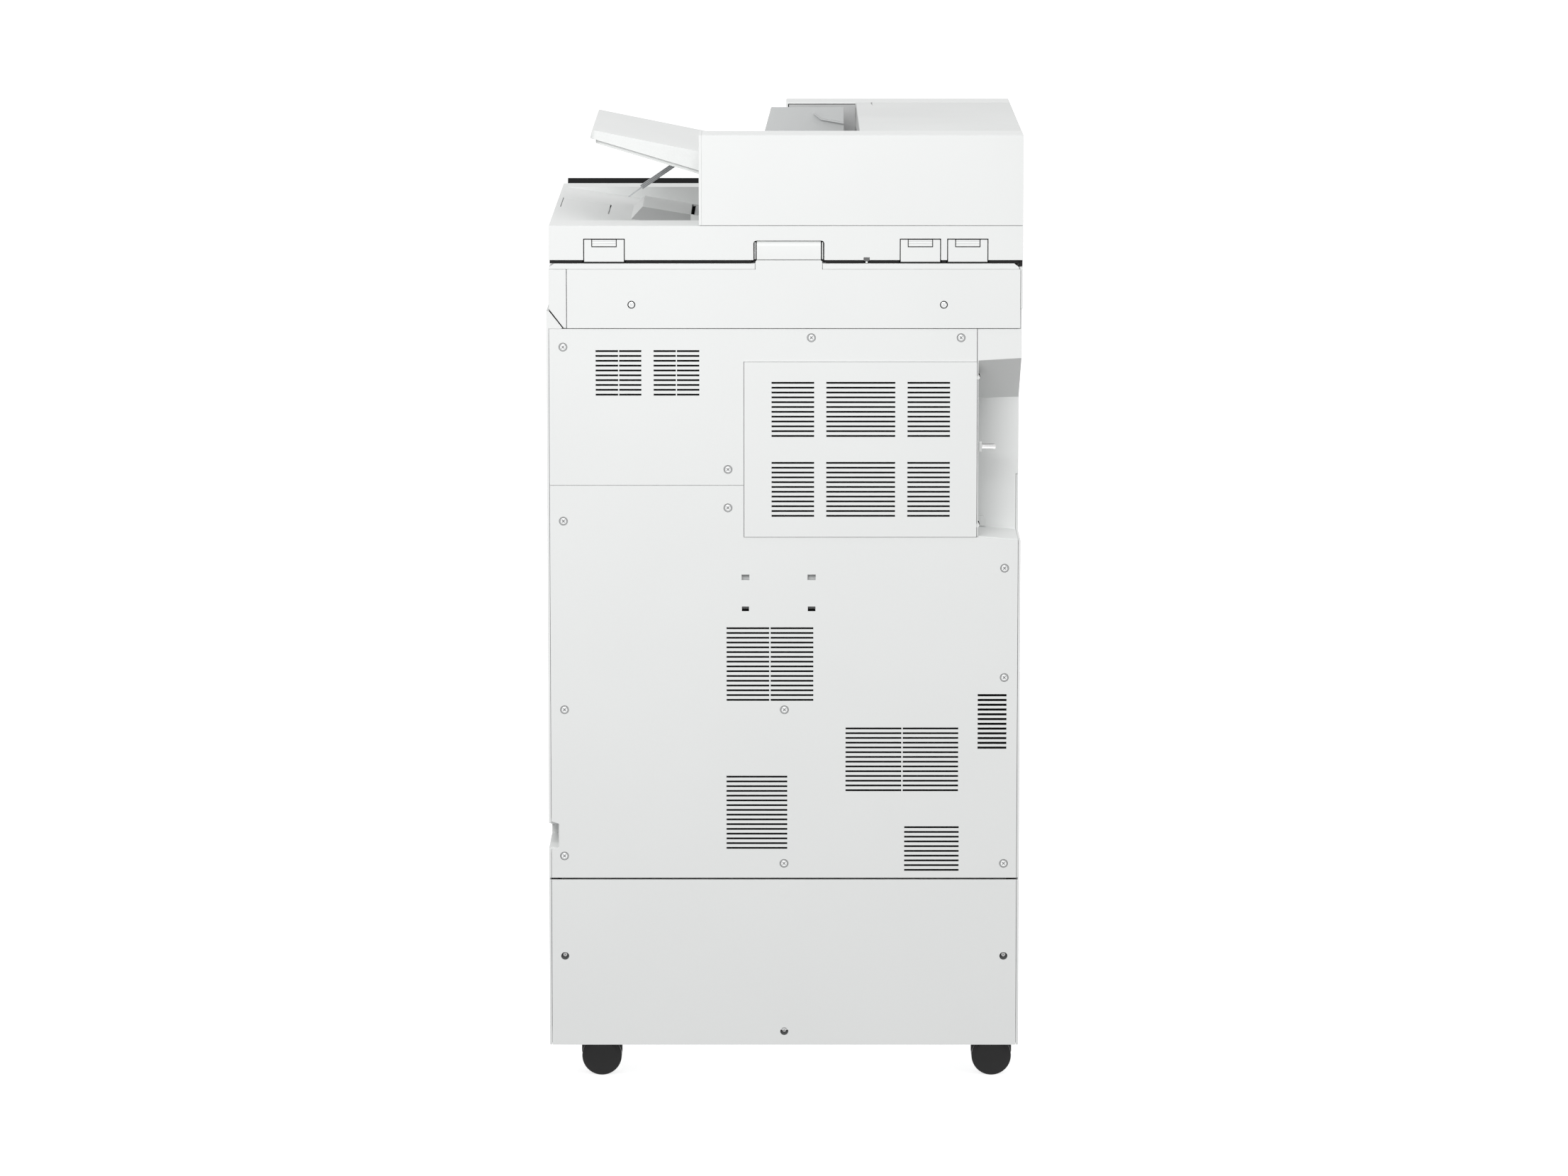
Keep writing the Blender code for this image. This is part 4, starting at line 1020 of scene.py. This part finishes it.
def panel_bits(bm):
    tilt = math.radians(42.0)
    pu, pn = (math.cos(tilt), math.sin(tilt)), (-math.sin(tilt), math.cos(tilt))
    p0 = (-370.0, 1085.9 - 150.0 * math.sin(tilt))
    for u, r in ((120, 2.2), (108, 2.2), (96, 2.2)):
        low, high = [], []
        for a, b in circle(259, u, r, 24):
            for w, ring in ((-0.3, low), (0.5, high)):
                ring.append(bm.verts.new(Vector((a, p0[0] + pu[0] * b + pn[0] * w, p0[1] + pu[1] * b + pn[1] * w)) * MM))
        bm.faces.new(low)
        bm.faces.new(high[::-1])
        for i in range(24):
            j = (i + 1) % 24
            bm.faces.new((low[i], high[i], high[j], low[j]))


made("panel_lamps", "control_panel", "key_plastic", panel_bits, 0.1)


def door_trim(bm):
    # shallow half-round trim line along the front door
    prism(bm, [(-269.6, 477.9), (-270.1, 477.9), (-270.45, 478.25), (-270.55, 478.6), (-270.45, 478.95),
               (-270.1, 479.3), (-269.6, 479.3)], "x", -293.4, 293.4)


made("door_trim", "front_door", "inner_plastic", door_trim, 0.2)


def feed_ribs(bm):
    # stiffening ribs under the feeder cover
    for y in (-100, -60, -20, 20, 140, 180, 220, 260):
        block(bm, -286, -102, y - 1, y + 1, 1184.0, 1191.6)


made("feed_cover_ribs", "feed_cover", "inner_plastic", feed_ribs, 0.3)


def feed_grip(bm):
    for k in range(4):
        block(bm, -296.0, -295.1, 56, 104, 1171 + 3.2 * k, 1172.4 + 3.2 * k)


made("feed_cover_grip", "feed_cover", "shell", feed_grip, 0.2)


def floor_foot(bm):
    # levelling stops at the front corners of the pedestal
    for x in (-190, 190):
        lathe(bm, "z", (x, -222), [(22, 0), (22, 11), (24, 12.5), (28, 12.5), (28, 5), (67.5, 5), (67.5, 0)], 32)


made("front_stops", "chassis", "black_plastic", floor_foot, 0, angle=35)


def arm_grooves(bm):
    # two ridges along the paper arm
    ax, az, bx, bz = 122.5, 1134.5, 184.8, 1091.6
    L = math.hypot(bx - ax, bz - az)
    ux, uz = (bx - ax) / L, (bz - az) / L
    nx, nz = -uz, ux
    for off in (-1.9, 0.1, 2.1):
        a = (ax + ux * 8 + nx * off, az + uz * 8 + nz * off)
        b = (bx - ux * 1 + nx * off, bz - uz * 1 + nz * off)
        h = 0.45
        pts = [(a[0] + nx * h, a[1] + nz * h), (b[0] + nx * h, b[1] + nz * h), (b[0] - nx * h, b[1] - nz * h),
               (a[0] - nx * h, a[1] - nz * h)]
        prism(bm, pts, "y", -63.9, -56.1)


made("arm_ridges", "paper_arm", "arm_dark", arm_grooves, 0.1, slot="arm_steel")

# ------------------------------------------------------------------ inside the reader and behind the door
def scan_rails(bm):
    for y in (-196, 300):
        lathe(bm, "x", (y, 978.0), [(-280, 0), (-280, 4), (258, 4), (258, 0)], 24)


made("scan_rails", "chassis", "arm_steel", scan_rails, 0, angle=35)


def scan_lamp(bm):
    block(bm, -240, -232, -160, 210, 1020.1, 1022.4)
    block(bm, -220, -212, -160, 210, 1020.1, 1022.4)


made("scan_lamps", "scan_carriage", "key_plastic", scan_lamp, 0.4)


def drum_handle(bm):
    # green grip on the drum unit's front
    prism(bm, [(0, 566), (90, 566), (94, 570), (94, 584), (90, 588), (0, 588), (-4, 584), (-4, 570)], "y", -256.5, -252.2)


made("drum_handle", "chassis", "release_green", drum_handle, 0.8, slot="key_plastic")


def lock_lever(bm):
    prism(bm, [(-196, 540), (-170, 540), (-166, 544), (-166, 550), (-170, 554), (-196, 554), (-200, 550), (-200, 544)],
          "y", -247.6, -244.7)


made("toner_lock", "chassis", "release_green", lock_lever, 0.6, slot="key_plastic")

# ------------------------------------------------------------------ floor, world, lights
floor_me = bpy.data.meshes.new("floor")
fb = bmesh.new()
bmesh.ops.create_grid(fb, x_segments=4, y_segments=4, size=60.0)
fb.to_mesh(floor_me)
fb.free()
floor = bpy.data.objects.new("floor", floor_me)
link(floor)
fm, fnt, fp = new_material("mat_floor")
ftc = fnt.nodes.new("ShaderNodeTexCoord").outputs["Object"]
fp.inputs["Base Color"].default_value = (0.45, 0.45, 0.45, 1)
fnt.links.new(ramp(fnt, noise(fnt, ftc, 2.0), 0.85, 0.95), fp.inputs["Roughness"])
fp.inputs["Specular IOR Level"].default_value = 0.1
fp.inputs["Emission Color"].default_value = (1, 1, 1, 1)
fp.inputs["Emission Strength"].default_value = 0.80
floor_me.materials.append(fm)
floor.visible_diffuse = False

world = bpy.data.worlds.new("world")
scene.world = world
world.use_nodes = True
wt = world.node_tree
bg = wt.nodes["Background"]
wz = wt.nodes.new("ShaderNodeSeparateXYZ")
wt.links.new(wt.nodes.new("ShaderNodeTexCoord").outputs["Generated"], wz.inputs[0])
wa = wt.nodes.new("ShaderNodeMath")
wa.operation = "ABSOLUTE"
wt.links.new(wz.outputs["X"], wa.inputs[0])
wm = wt.nodes.new("ShaderNodeMath")
wm.operation = "MULTIPLY"
wt.links.new(ramp(wt, wz.outputs["Z"], 0.37, 0.90, -0.15, 0.25), wm.inputs[0])
wt.links.new(ramp(wt, wa.outputs[0], 1.0, 0.6, 0.65, 0.98), wm.inputs[1])
wt.links.new(wm.outputs[0], bg.inputs["Strength"])
bg.inputs["Color"].default_value = (1.0, 1.0, 1.0, 1)


def softbox(name, loc, aim, size, size_y, watts, color=(1, 1, 1)):
    li = bpy.data.lights.new(name, "AREA")
    li.shape = "RECTANGLE"
    li.size, li.size_y = size, size_y
    li.energy = watts
    li.color = color
    ob = bpy.data.objects.new(name, li)
    ob.location = loc
    ob.rotation_euler = (Vector(aim) - Vector(loc)).to_track_quat("-Z", "Y").to_euler()
    link(ob)
    return ob


softbox("key", (0.45, 2.5, 1.9), (0.05, 0.37, 1.1), 1.2, 0.8, 30)

fill = softbox("fill", (-0.9, -3.6, 1.2), (0.0, -0.2, 0.7), 1.8, 1.4, 30)
fill.visible_glossy = False

scene.view_settings.view_transform = "Standard"
scene.view_settings.look = "None"
scene.view_settings.exposure = 0.0
scene.view_settings.gamma = 1.0
